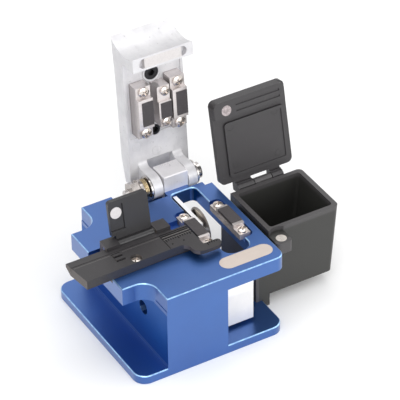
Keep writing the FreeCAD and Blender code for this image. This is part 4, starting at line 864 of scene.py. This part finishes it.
class Finish(Enum):
    """The finishes that the pieces can take."""

    BLUE = AnodisedBlue()
    LEVER = CastAlloy("lever_alloy")
    # the slider takes a painted highlight on its upper part and painted shade on its arm's sides
    SLIDER = TopHighlightAlloy("slider_alloy", linear(235, 233, 231), linear(227, 226, 225), linear(196, 196, 200),
                      roughness=0.34, pits=0.1, metallic=0.25)
    BLOCK = CastAlloy("hinge_alloy", linear(234, 232, 234), linear(218, 216, 218), linear(150, 148, 152),
                      roughness=0.30, pits=0.2, metallic=0.35)
    # the clamps take painted shade on their side walls
    CLAMP = MachinedMetal("clamp_alloy", linear(242, 237, 236), linear(184, 176, 174), 0.20,
                          lines=(120.0, 5200.0, 5200.0), metallic=0.6, side_shade_share=0.32)
    STEEL = MachinedMetal("bright_steel", linear(212, 208, 206), linear(170, 165, 162), 0.24)
    NUT = MachinedMetal("nut_steel", linear(222, 216, 212), linear(104, 96, 92), 0.16,
                        lines=(330.0, 330.0, 330.0), metallic=0.9)
    STRIKE = MachinedMetal("strike_steel", linear(214, 202, 193), linear(196, 183, 174), 0.42,
                           lines=(30.0, 2600.0, 2600.0), metallic=0.45)
    SCREW = MachinedMetal("screw_steel", linear(236, 229, 223), linear(176, 166, 159), 0.20,
                          lines=(700.0, 700.0, 700.0), metallic=0.9)
    BLACK_SCREW = MachinedMetal("black_screw", linear(62, 62, 64), linear(28, 28, 30), 0.34,
                                lines=(900.0, 900.0, 900.0), metallic=0.7)
    BRASS = MachinedMetal("spring_brass", linear(204, 187, 152), linear(124, 106, 78), 0.24,
                          lines=(900.0, 3000.0, 3000.0))
    CARBIDE = GroundCarbide()
    MAGNET = PlatedMagnet("magnet_nickel", linear(176, 166, 166), linear(140, 131, 132))
    BRIGHT_MAGNET = PlatedMagnet("bright_magnet", linear(208, 204, 203), linear(201, 197, 196), 0.2)
    BOX_MAGNET = PlatedMagnet("box_magnet_nickel", linear(206, 200, 192), linear(186, 179, 172), 0.3)
    PLASTIC = MouldedPlastic()
    # the holder's left end takes a paler tone of painted light
    HOLDER = MouldedPlastic("holder_plastic", linear(48, 46, 48), linear(40, 38, 40), linear(76, 73, 72),
                            0.42, end=linear(78, 72, 69))
    FLAP = MouldedPlastic("flap_plastic", linear(38, 37, 39), linear(30, 29, 31), linear(58, 56, 57), 0.36)
    # the box's inside is painted darker as shade
    BOX = MouldedPlastic("box_plastic", linear(72, 70, 71), linear(62, 60, 61), linear(98, 95, 95),
                         hollow=ShadedHollow(29.9 * MM, 64.3 * MM, -20.6 * MM, 14.3 * MM, 34.6 * MM))
    # pale plastic for the painted highlight lines on the holder
    HIGHLIGHT_LINE = MouldedPlastic("rubbed_line", linear(112, 108, 106), linear(96, 92, 91),
                                 linear(130, 126, 124))
    RUBBER = PadRubber()
    # black for engraved marks and for painted shadow strips
    ENGRAVED_AND_SHADE = EngravedAndShadeBlack()


@dataclass
class Wardrobe:
    """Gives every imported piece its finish."""

    made: Dict[Finish, bpy.types.Material] = field(default_factory=dict)
    exact: Dict[str, Finish] = field(default_factory=lambda: {
        "body": Finish.BLUE, "strike_plate": Finish.STRIKE, "slider": Finish.SLIDER, "blade": Finish.CARBIDE,
        "rail": Finish.STEEL, "rail_truck": Finish.STEEL, "hinge_block": Finish.BLOCK,
        "hinge_nut": Finish.NUT, "hinge_spring_ring": Finish.BRASS, "lever": Finish.LEVER,
        "lever_magnet": Finish.BRIGHT_MAGNET,
        "lever_screw_near": Finish.BLACK_SCREW, "lever_screw_far": Finish.BLACK_SCREW,
        "fibre_holder": Finish.HOLDER, "holder_flap": Finish.FLAP, "flap_magnet": Finish.BRIGHT_MAGNET,
        "scrap_box": Finish.BOX, "box_magnet": Finish.BOX_MAGNET, "box_lid": Finish.PLASTIC,
        "lid_pin": Finish.BLACK_SCREW,
    })
    by_word: Tuple[Tuple[str, Finish], ...] = (
        ("magnet", Finish.MAGNET), ("screw", Finish.SCREW), ("_pad", Finish.RUBBER), ("clamp", Finish.CLAMP),
        ("bracket", Finish.CLAMP), ("pin", Finish.SCREW), ("washer", Finish.STEEL), ("bolt", Finish.STEEL),
    )

    def material(self, finish: Finish) -> bpy.types.Material:
        """The finish's material, built once.

        Args:
            finish: the finish.

        Returns:
            Its material.
        """
        if finish not in self.made:
            self.made[finish] = finish.value.material()
        return self.made[finish]

    def finish_for(self, node: str) -> Finish:
        """Choose a finish from a piece's name.

        Args:
            node: the piece's name.

        Returns:
            The finish it takes.
        """
        if node in self.exact:
            return self.exact[node]
        for word, finish in self.by_word:
            if word in node:
                return finish
        raise ValueError(f"no finish for {node}")

    def dress(self) -> None:
        """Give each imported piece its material."""
        for name, piece in frame["nodes"].items():
            finish = self.finish_for(name)
            piece.data.materials.clear()
            piece.data.materials.append(self.material(finish))
            LOG.info("%s: %s", name, finish.name)


# ------------------------------------------------------------------ places
@dataclass(frozen=True)
class Swing:
    """The frame of a part that stands open on its hinge.

    Its x runs along the pin, its reach away from the pin, and its height out of the part's inner face.
    """

    joint: str
    open_angle: float

    def place(self) -> Matrix:
        """The frame of the open part.

        Returns:
            A matrix from (x, reach, height) to the object's own axes.
        """
        pin = next(Vector(joint["pos_m"]) for joint in frame["joints"] if joint["name"] == self.joint)
        turn = math.radians(self.open_angle)
        reach = Vector((0.0, -math.cos(turn), math.sin(turn)))
        height = Vector((0.0, -math.sin(turn), -math.cos(turn)))
        axes = Matrix((Vector((1.0, 0.0, 0.0)), reach, height)).transposed().to_4x4()
        return Matrix.Translation(Vector((0.0, pin.y, pin.z))) @ axes


LEVER_SWING = Swing("lever_hinge", 94.3)
LID_SWING = Swing("lid_hinge", 102.2)


def settle(piece: bpy.types.Object, body: str, slot: str, *nodes: str) -> None:
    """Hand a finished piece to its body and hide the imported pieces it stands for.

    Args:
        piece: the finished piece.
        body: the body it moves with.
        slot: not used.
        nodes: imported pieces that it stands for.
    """
    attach(piece, body)
    if nodes:
        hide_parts(*nodes)
    LOG.info("%s: %d faces on %s", piece.name, len(piece.data.polygons), body)


def middle(node: str) -> Vector:
    """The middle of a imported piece's box."""
    low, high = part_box(node)
    return (low + high) / 2


@dataclass
class Plates:
    """Small bevelled plates gathered into one mesh."""

    bevel: float = 0.06 * MM
    shape: bmesh.types.BMesh = field(default_factory=bmesh.new)

    def add(self, low: Sequence[float], high: Sequence[float]) -> None:
        """Add a plate between two corners.

        Args:
            low: lowest corner in metres.
            high: highest corner in metres.
        """
        corners = [(x, y, z) for x in (low[0], high[0]) for y in (low[1], high[1]) for z in (low[2], high[2])]
        made = [self.shape.verts.new(corner) for corner in corners]
        for run in ((0, 1, 3, 2), (4, 6, 7, 5), (0, 4, 5, 1), (2, 3, 7, 6), (0, 2, 6, 4), (1, 5, 7, 3)):
            self.shape.faces.new([made[index] for index in run])

    def piece(self, name: str, finish: bpy.types.Material) -> bpy.types.Object:
        """Finish the plates as one piece.

        Args:
            name: name of the piece.
            finish: its material.

        Returns:
            The piece.
        """
        edges = list(self.shape.edges)
        bmesh.ops.bevel(self.shape, geom=edges, offset=self.bevel, segments=1, affect="EDGES")
        bmesh.ops.recalc_face_normals(self.shape, faces=self.shape.faces)
        mesh = bpy.data.meshes.new(name)
        self.shape.to_mesh(mesh)
        self.shape.free()
        mesh.materials.append(finish)
        return put(name, mesh)


# ------------------------------------------------------------------ screws
@dataclass
class CrossHeadScrews:
    """Domed cross-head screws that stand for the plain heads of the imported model."""

    wardrobe: Wardrobe
    small_head: float = 3.5 * MM
    holder_head: float = 3.8 * MM
    upper_head: float = 4.0 * MM
    height: float = 1.3 * MM
    swell: float = 1.08
    dome: float = 0.45 * MM
    domed_from: float = 0.3
    arm_width: float = 0.55 * MM
    arm_share: float = 1.25
    recess: float = 0.75 * MM
    sides: int = 28
    rings: int = 4
    most_turn: float = 1.5

    def __post_init__(self) -> None:
        """Write the tree once."""
        self.pattern = Pattern("cross_head_screws", self.sizes(self.small_head, 0))
        self._write()

    def sizes(self, width: float, seed: int) -> Dict[str, Any]:
        """The tree's inputs for one group of screws.

        Args:
            width: diameter of a packed head.
            seed: seed of the screws' turns.

        Returns:
            A value for each named input.
        """
        radius = width / 2 * self.swell
        return {"Radius": radius, "Height": self.height, "Dome": self.dome,
                "Arm Length": radius * self.arm_share, "Arm Width": self.arm_width, "Recess": self.recess,
                "Sides": self.sides, "Seed": seed}

    def _write(self) -> None:
        """A disc with a domed top, two crossing cuts, and a chance turn at every point."""
        write, given = self.pattern, self.pattern.given
        inputs = {"Vertices": given("Sides"), "Side Segments": 2, "Fill Segments": self.rings,
                  "Radius": given("Radius"), "Depth": given("Height")}
        disc = write.node("GeometryNodeMeshCylinder", {"fill_type": "TRIANGLE_FAN"}, inputs)
        spot = write.node("GeometryNodeInputPosition", {}, {})
        x, y, z = [write.along(spot, letter) for letter in "XYZ"]
        reach = (x * x + y * y) / (given("Radius") * given("Radius"))
        top = z > given("Height") * self.domed_from
        drop = write.vector(0.0, 0.0, top * reach * given("Dome") * -1.0)
        head = write.node("GeometryNodeSetPosition", {}, {"Geometry": disc, "Offset": drop})
        lift = write.vector(0.0, 0.0, given("Height") * 0.5)
        for length, width in (("Arm Length", "Arm Width"), ("Arm Width", "Arm Length")):
            arm = write.vector(given(length), given(width), given("Recess") * 2.0)
            head = write.cut(head, write.moved(write.node("GeometryNodeMeshCube", {}, {"Size": arm}), lift))
        chance = write.node("FunctionNodeRandomValue", {"data_type": "FLOAT"},
                            {2: 0.0, 3: self.most_turn, 8: given("Seed")}, 1)
        turn = write.vector(0.0, 0.0, chance)
        write.close(write.placed(given("Geometry"), write.moved(head, lift), turn))

    def build(self, name: str, body: str, nodes: Sequence[str], width: float, seed: int,
              swing: Optional[Swing] = None) -> None:
        """Set a screw in place of each named head.

        Args:
            name: name of the piece.
            body: the body that the screws are in.
            nodes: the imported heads.
            width: diameter of a packed head.
            seed: seed of the screws' turns.
            swing: the open part they sit in, or None where they stand upright.
        """
        place = swing.place() if swing else Matrix.Identity(4)
        back = place.inverted()
        seats = [back @ middle(node) - Vector((0.0, 0.0, self.height / 2)) for node in nodes]
        finish = self.wardrobe.material(Finish.SCREW)
        piece = self.pattern.grow(name, seats, self.sizes(width, seed), finish, place)
        settle(piece, body, "screw_steel", *nodes)

    def build_all(self) -> None:
        """Every group of cross-head screws."""
        lower = [f"lower_screw_{side}_{end}" for side in ("left", "right") for end in ("front", "back")]
        anvil = [f"anvil_screw_{end}" for end in ("near", "far")]
        self.build("lower_screws", "base", lower, self.small_head, seed=3)
        self.build("holder_cross_screw", "base", ["holder_screw"], self.holder_head, seed=5)
        self.build("anvil_screws", "lever", anvil, self.small_head, seed=7, swing=LEVER_SWING)
        for side, seed in (("left", 11), ("right", 13)):
            upper = [f"upper_screw_{side}_{end}" for end in ("near", "far")]
            self.build(f"upper_screws_{side}", f"upper_clamp_{side}", upper, self.upper_head, seed,
                       LEVER_SWING)


# ------------------------------------------------------------------ fibre holder
@dataclass(frozen=True)
class Scale:
    """A row of strokes along X, of which the first and then every such one is long."""

    start: Tuple[float, float]
    pitch: float
    count: int
    every: int


@dataclass
class HolderMarks:
    """The holder's engraved scales, painted shadow strips by its cross ridges, groove lining, painted highlight
    lines and blind dots.
    """

    wardrobe: Wardrobe
    post_rise: float = 1.4 * MM
    proud: float = 0.015 * MM
    slot_depth: float = 0.3 * MM
    tick_width: float = 0.42 * MM
    tick_short: float = 1.0 * MM
    tick_long: float = 1.6 * MM
    tick_depth: float = 0.10 * MM
    ruler_scale: Scale = Scale((-4.4 * MM, -5.95 * MM), 1.0 * MM, count=12, every=5)
    finger_scale: Scale = Scale((7.9 * MM, -15.15 * MM), 0.95 * MM, count=5, every=20)
    # painted shadow strips at the foot of the holder's cross ridges: their span along X, their places and their
    # width
    ridge_shade_x: Tuple[float, float] = (-26.2 * MM, -22.4 * MM)
    ridge_shade_places: Tuple[float, ...] = (-3.55 * MM, -5.66 * MM, -8.06 * MM)
    ridge_shade_width: float = 0.5 * MM
    border_x: float = -5.5 * MM
    border_y: Tuple[float, float] = (-11.6 * MM, -3.2 * MM)
    border_width: float = 0.45 * MM
    ruler_x: Tuple[float, float] = (-5.2 * MM, 6.5 * MM)
    ruler_lines: Tuple[Tuple[float, float], ...] = ((-4.0 * MM, -3.4 * MM), (-5.5 * MM, -4.95 * MM))
    # painted highlight lines along the ruler
    ruler_highlights: Tuple[Tuple[float, float], ...] = ((-4.5 * MM, -4.2 * MM), (-5.85 * MM, -5.6 * MM))
    dots: Tuple[Tuple[float, float], ...] = ((1.45 * MM, -9.5 * MM), (-3.3 * MM, -9.4 * MM))
    dot_half: float = 0.36 * MM
    groove_x: Tuple[float, float] = (-42.4 * MM, -5.4 * MM)
    groove_y: Tuple[float, float] = (-3.04 * MM, -2.56 * MM)
    groove_sink: float = 0.10 * MM
    groove_floor: float = 1.6 * MM
    # painted highlight line along the groove's front edge: its place, its inset, its breaks at the cross ridges
    # and its bevel
    groove_highlight_y: Tuple[float, float] = (-3.75 * MM, -3.60 * MM)
    groove_highlight_inset: float = 0.6 * MM
    groove_highlight_gaps: Tuple[float, float] = (0.4 * MM, 0.8 * MM)
    highlight_line_bevel: float = 0.02 * MM

    def __post_init__(self) -> None:
        """Find the holder's upper face, which is lower than its posts, and write the scales' tree."""
        self.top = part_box("fibre_holder")[1].z - self.post_rise
        self.high = self.top + self.proud
        self.low = self.top - self.slot_depth
        self.pattern = Pattern("engraved_scale", self.strokes(self.ruler_scale))
        self._write()

    def strokes(self, scale: Scale) -> Dict[str, Any]:
        """The tree's inputs for one scale.

        Args:
            scale: the scale, whose start is the foot of its first stroke.

        Returns:
            A value for each named input.
        """
        level = self.high - self.tick_depth / 2
        return {"Start": (*scale.start, level), "Pitch": scale.pitch, "Count": scale.count,
                "Long Every": scale.every, "Short": self.tick_short, "Long": self.tick_long,
                "Width": self.tick_width, "Depth": self.tick_depth}

    def _write(self) -> None:
        """A row of strokes, every few of them longer."""
        write, given = self.pattern, self.pattern.given
        inputs = {"Count": given("Count"), "Start Location": given("Start"),
                  "Offset": write.vector(given("Pitch"), 0.0, 0.0)}
        line = write.node("GeometryNodeMeshLine", {"mode": "OFFSET"}, inputs)
        bar = write.vector(given("Width"), 1.0, given("Depth"))
        hung = write.moved(write.node("GeometryNodeMeshCube", {}, {"Size": bar}), (0.0, -0.5, 0.0))
        chief = (write.node("GeometryNodeInputIndex", {}, {}) % given("Long Every")) < 0.5
        length = given("Short") + (given("Long") - given("Short")) * chief
        write.close(write.placed(line, hung, scale=write.vector(1.0, length, 1.0)))

    def engrave(self, name: str, scale: Scale) -> None:
        """Make one scale on the holder.

        Args:
            name: name of the piece.
            scale: the scale.
        """
        finish = self.wardrobe.material(Finish.ENGRAVED_AND_SHADE)
        piece = self.pattern.grow(name, [Vector()], self.strokes(scale), finish)
        settle(piece, "base", "black_plastic")

    def hand_in(self, plates: Plates, name: str, finish: Finish) -> None:
        """Make plates one piece of the holder."""
        settle(plates.piece(name, self.wardrobe.material(finish)), "base", "black_plastic")

    def build(self) -> None:
        """Make every mark."""
        self.engrave("holder_scale", self.ruler_scale)
        self.engrave("finger_scale", self.finger_scale)
        self.build_marks_and_shades()
        self.build_lining()
        self.build_highlight_lines()

    def build_marks_and_shades(self) -> None:
        """Painted shadow strips at the foot of the cross ridges, the ruler's lines, the border beside it and
        the blind dots.
        """
        marks_and_shades = Plates()
        half = self.ridge_shade_width / 2
        # painted shadow strips
        for place in self.ridge_shade_places:
            marks_and_shades.add((self.ridge_shade_x[0], place - half, self.low), (self.ridge_shade_x[1], place + half, self.high))
        for front, back in self.ruler_lines:
            marks_and_shades.add((self.ruler_x[0], front, self.low), (self.ruler_x[1], back, self.high))
        marks_and_shades.add((self.border_x, self.border_y[0], self.low),
                  (self.border_x + self.border_width, self.border_y[1], self.high))
        for x, y in self.dots:
            marks_and_shades.add((x - self.dot_half, y - self.dot_half, self.low),
                      (x + self.dot_half, y + self.dot_half, self.high))
        self.hand_in(marks_and_shades, "holder_marks_and_shades", Finish.ENGRAVED_AND_SHADE)

    def build_lining(self) -> None:
        """The strip that lines the fibre groove, a little below the face."""
        lining = Plates()
        lining.add((self.groove_x[0], self.groove_y[0], self.top - self.groove_floor),
                   (self.groove_x[1], self.groove_y[1], self.top - self.groove_sink))
        self.hand_in(lining, "groove_lining", Finish.HOLDER)

    def build_highlight_lines(self) -> None:
        """Painted highlights: a pale line along the groove's front edge, broken at the cross ridges, and pale
        lines along the ruler.
        """
        # plates of painted highlight
        rubbed = Plates(bevel=self.highlight_line_bevel)
        spans = ((self.groove_x[0] + self.groove_highlight_inset, self.ridge_shade_x[0] - self.groove_highlight_gaps[0]),
                 (self.ridge_shade_x[1] + self.groove_highlight_gaps[1], self.border_x))
        for left, right in spans:
            rubbed.add((left, self.groove_highlight_y[0], self.low), (right, self.groove_highlight_y[1], self.high))
        for front, back in self.ruler_highlights:
            rubbed.add((self.ruler_x[0], front, self.low), (self.ruler_x[1], back, self.high))
        self.hand_in(rubbed, "painted_highlight_lines", Finish.HIGHLIGHT_LINE)


# ------------------------------------------------------------------ hinge
@dataclass
class HingeSpring:
    """The coil spring washer between the nut and the lever's ear."""

    wardrobe: Wardrobe
    turns: float = 3.0
    wire: float = 0.42 * MM
    wire_sides: int = 10
    steps: int = 28
    node: str = "hinge_spring_ring"

    def build(self) -> None:
        """Wind the spring and set it in the ring's place."""
        low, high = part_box(self.node)
        radius = (high.z - low.z) / 2 - self.wire
        length = (high.x - low.x) - 2 * self.wire
        sizes = {"Turns": self.turns, "Radius": radius, "Length": length, "Wire": self.wire,
                 "Steps": self.steps}
        pattern = Pattern("spring_coil", sizes)
        self._write(pattern)
        centre = middle(self.node)
        place = Matrix.Translation(Vector((low.x + self.wire, centre.y, centre.z)))
        piece = pattern.grow("hinge_spring", [Vector()], sizes, self.wardrobe.material(Finish.BRASS), place)
        settle(piece, "base", "brass", self.node)

    def _write(self, write: Pattern) -> None:
        """A wire that winds round X.

        Args:
            write: the spring's tree.
        """
        given = write.given
        inputs = {"Resolution": given("Steps"), "Rotations": given("Turns"), "Start Radius": given("Radius"),
                  "End Radius": given("Radius"), "Height": given("Length")}
        path = write.node("GeometryNodeCurveSpiral", {}, inputs)
        section = write.circle(given("Wire"), self.wire_sides)
        inputs = {"Curve": path, "Profile Curve": section, "Fill Caps": True}
        coil = write.node("GeometryNodeCurveToMesh", {}, inputs)
        write.close(write.moved(coil, turn=(0.0, math.pi / 2, 0.0)))


# ------------------------------------------------------------------ lever and lid marks
@dataclass(frozen=True)
class Ring:
    """The section of a low ring: its middle radius, the width of its foot and its height."""

    radius: float
    width: float
    rise: float


@dataclass
class RaisedRings:
    """Low rings on a face: the boss round the lever's screw, and mould marks on the lever and the lid."""

    wardrobe: Wardrobe
    sides: int = 36
    crest_share: float = 0.6
    boss: Ring = Ring(3.45 * MM, 0.8 * MM, 0.5 * MM)
    boss_level: float = -7.8 * MM
    casting: Ring = Ring(1.9 * MM, 0.22 * MM, 0.10 * MM)
    casting_spots: Tuple[Tuple[float, float], ...] = ((8.0 * MM, 14.4 * MM), (16.5 * MM, 10.0 * MM))
    casting_level: float = -7.4 * MM
    moulding: Ring = Ring(1.25 * MM, 0.16 * MM, 0.10 * MM)
    moulding_spots: Tuple[Tuple[float, float], ...] = (
        (39.3 * MM, 25.6 * MM), (39.8 * MM, 9.4 * MM), (58.4 * MM, 8.4 * MM), (58.9 * MM, 25.8 * MM))
    moulding_level: float = -0.6 * MM

    def __post_init__(self) -> None:
        """Write the tree once."""
        self.pattern = Pattern("raised_rings", self.sizes(self.boss))
        self._write()

    def sizes(self, ring: Ring) -> Dict[str, Any]:
        """The tree's inputs for one kind of ring."""
        return {"Radius": ring.radius, "Width": ring.width, "Rise": ring.rise, "Sides": self.sides}

    def _write(self) -> None:
        """A ring whose section narrows towards its crest, set on every point."""
        write, given = self.pattern, self.pattern.given
        inputs = {"Bottom Width": given("Width"), "Top Width": given("Width") * self.crest_share,
                  "Offset": 0.0, "Height": given("Rise")}
        section = write.node("GeometryNodeCurvePrimitiveQuadrilateral", {"mode": "TRAPEZOID"}, inputs)
        inputs = {"Curve": write.circle(given("Radius"), given("Sides")), "Profile Curve": section}
        write.close(write.placed(given("Geometry"), write.node("GeometryNodeCurveToMesh", {}, inputs)))

    def build(self, name: str, body: str, slot: str, finish: Finish, swing: Swing, ring: Ring,
              points: Sequence[Vector]) -> None:
        """Set a ring on each point.

        Args:
            name: name of the piece.
            body: the body that it moves with.
            slot: its material slot.
            finish: its finish.
            swing: the open part that carries it.
            ring: the ring's section.
            points: the rings' middles in that part's frame.
        """
        material = self.wardrobe.material(finish)
        settle(self.pattern.grow(name, points, self.sizes(ring), material, swing.place()), body, slot)

    def build_all(self) -> None:
        """Every ring."""
        far = LEVER_SWING.place().inverted() @ middle("lever_screw_far")
        seat = [Vector((far.x, far.y, self.boss_level))]
        cast = [Vector((*spot, self.casting_level)) for spot in self.casting_spots]
        marks = [Vector((*spot, self.moulding_level)) for spot in self.moulding_spots]
        self.build("screw_boss", "lever", "bare_alloy", Finish.LEVER, LEVER_SWING, self.boss, seat)
        self.build("casting_rings", "lever", "bare_alloy", Finish.LEVER, LEVER_SWING, self.casting, cast)
        self.build("moulding_rings", "box_lid", "black_plastic", Finish.PLASTIC, LID_SWING, self.moulding,
                   marks)


# ------------------------------------------------------------------ studio
@dataclass
class Lamp:
    """A square soft white lamp aimed at the object."""

    name: str
    place: Triple
    power: float
    side: float

    def build(self, target: Vector) -> None:
        """Add the lamp.

        Args:
            target: the point it is turned towards.
        """
        data = bpy.data.lights.new(self.name, "AREA")
        data.energy = self.power
        data.size = self.side
        lamp = put(self.name, data)
        lamp.location = self.place
        lamp.rotation_euler = (target - lamp.location).to_track_quat("-Z", "Y").to_euler()


@dataclass
class Studio:
    """Pale floor, soft lamps and the camera."""

    azimuth: float = 29.914
    elevation: float = 36.885
    roll: float = -0.861
    distance: float = 1.035981
    aim: Triple = (0.01407, 0.0, 0.047723)
    lens_mm: float = 249.69762
    sensor_mm: float = 36.0
    far: float = 20.0
    floor_half: float = 3.0
    floor_drop: float = 0.05 * MM
    floor_fleck: Waves = Waves(30.0, 2.0)
    paper: Colour = linear(250, 250, 250)
    paper_shade: Colour = linear(246, 246, 246)
    air_light: float = 0.55
    lamps: List[Lamp] = field(default_factory=lambda: [
        Lamp("key", (-0.55, -0.75, 1.15), 6.2, 0.8),
        Lamp("top", (0.15, 0.25, 1.30), 6.0, 1.0),
        Lamp("left", (-1.20, -0.15, 0.35), 2.4, 0.6),
        Lamp("front", (0.20, -1.25, 0.40), 8.0, 0.8),
        Lamp("right", (0.95, -0.35, 0.55), 2.5, 0.7),
    ])

    def build(self) -> None:
        """Add the whole studio."""
        self.add_floor()
        self.add_world()
        for lamp in self.lamps:
            lamp.build(Vector(self.aim))
        self.add_camera()
        bpy.context.scene.view_settings.view_transform = "Standard"

    def add_floor(self) -> None:
        """A wide pale floor that keeps the object's shadow."""
        mesh = bpy.data.meshes.new("floor")
        half = self.floor_half
        corners = [(-half, -half, 0), (half, -half, 0), (half, half, 0), (-half, half, 0)]
        mesh.from_pydata(corners, [], [range(len(corners))])
        floor = put("floor", mesh)
        make = Shader("floor_paper")
        tone = make.blend(make.noise(self.floor_fleck), self.paper_shade, self.paper)
        mesh.materials.append(make.surface(Base_Color=tone, Roughness=0.9, Specular_IOR_Level=0.0))
        floor.location.z = -self.floor_drop

    def add_world(self) -> None:
        """A world that looks white, also where metal shows it, and lights the object softly."""
        world = bpy.data.worlds.new("studio_air")
        world.use_nodes = True
        bpy.context.scene.world = world
        world.node_tree.nodes.clear()
        write = NodeWriter(world.node_tree)
        seen = write.node("ShaderNodeLightPath", {}, {}, "Is Camera Ray")
        for ray in ("Is Glossy Ray", "Is Transmission Ray"):
            seen = seen.larger(write.node("ShaderNodeLightPath", {}, {}, ray))
        inputs = {"Value": seen, "To Min": self.air_light, "To Max": 1.0}
        strength = write.node("ShaderNodeMapRange", {}, inputs)
        air = write.node("ShaderNodeBackground", {}, {"Color": (1.0, 1.0, 1.0), "Strength": strength})
        write.end("ShaderNodeOutputWorld", air)

    def add_camera(self) -> None:
        """The camera, to the left and above, level but for a slight roll."""
        turn, rise, tilt = (math.radians(angle) for angle in (self.azimuth, self.elevation, self.roll))
        back = Vector((-math.sin(turn) * math.cos(rise), -math.cos(turn) * math.cos(rise), math.sin(rise)))
        level = Vector((math.cos(turn), -math.sin(turn), 0.0))
        upright = back.cross(level)
        right = math.cos(tilt) * level + math.sin(tilt) * upright
        up = -math.sin(tilt) * level + math.cos(tilt) * upright
        data = bpy.data.cameras.new("camera")
        data.sensor_width = self.sensor_mm
        data.lens = self.lens_mm
        data.clip_end = self.far
        camera = put("camera", data)
        turned = Matrix((right, up, back)).transposed().to_4x4()
        camera.matrix_world = Matrix.Translation(Vector(self.aim) + back * self.distance) @ turned
        bpy.context.scene.camera = camera


def main() -> None:
    """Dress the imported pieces, add the details and set the studio."""
    logging.basicConfig(level=logging.INFO, format="%(name)s %(message)s")
    wardrobe = Wardrobe()
    wardrobe.dress()
    CrossHeadScrews(wardrobe).build_all()
    HolderMarks(wardrobe).build()
    HingeSpring(wardrobe).build()
    RaisedRings(wardrobe).build_all()
    Studio().build()


if __name__ == "__main__":
    main()
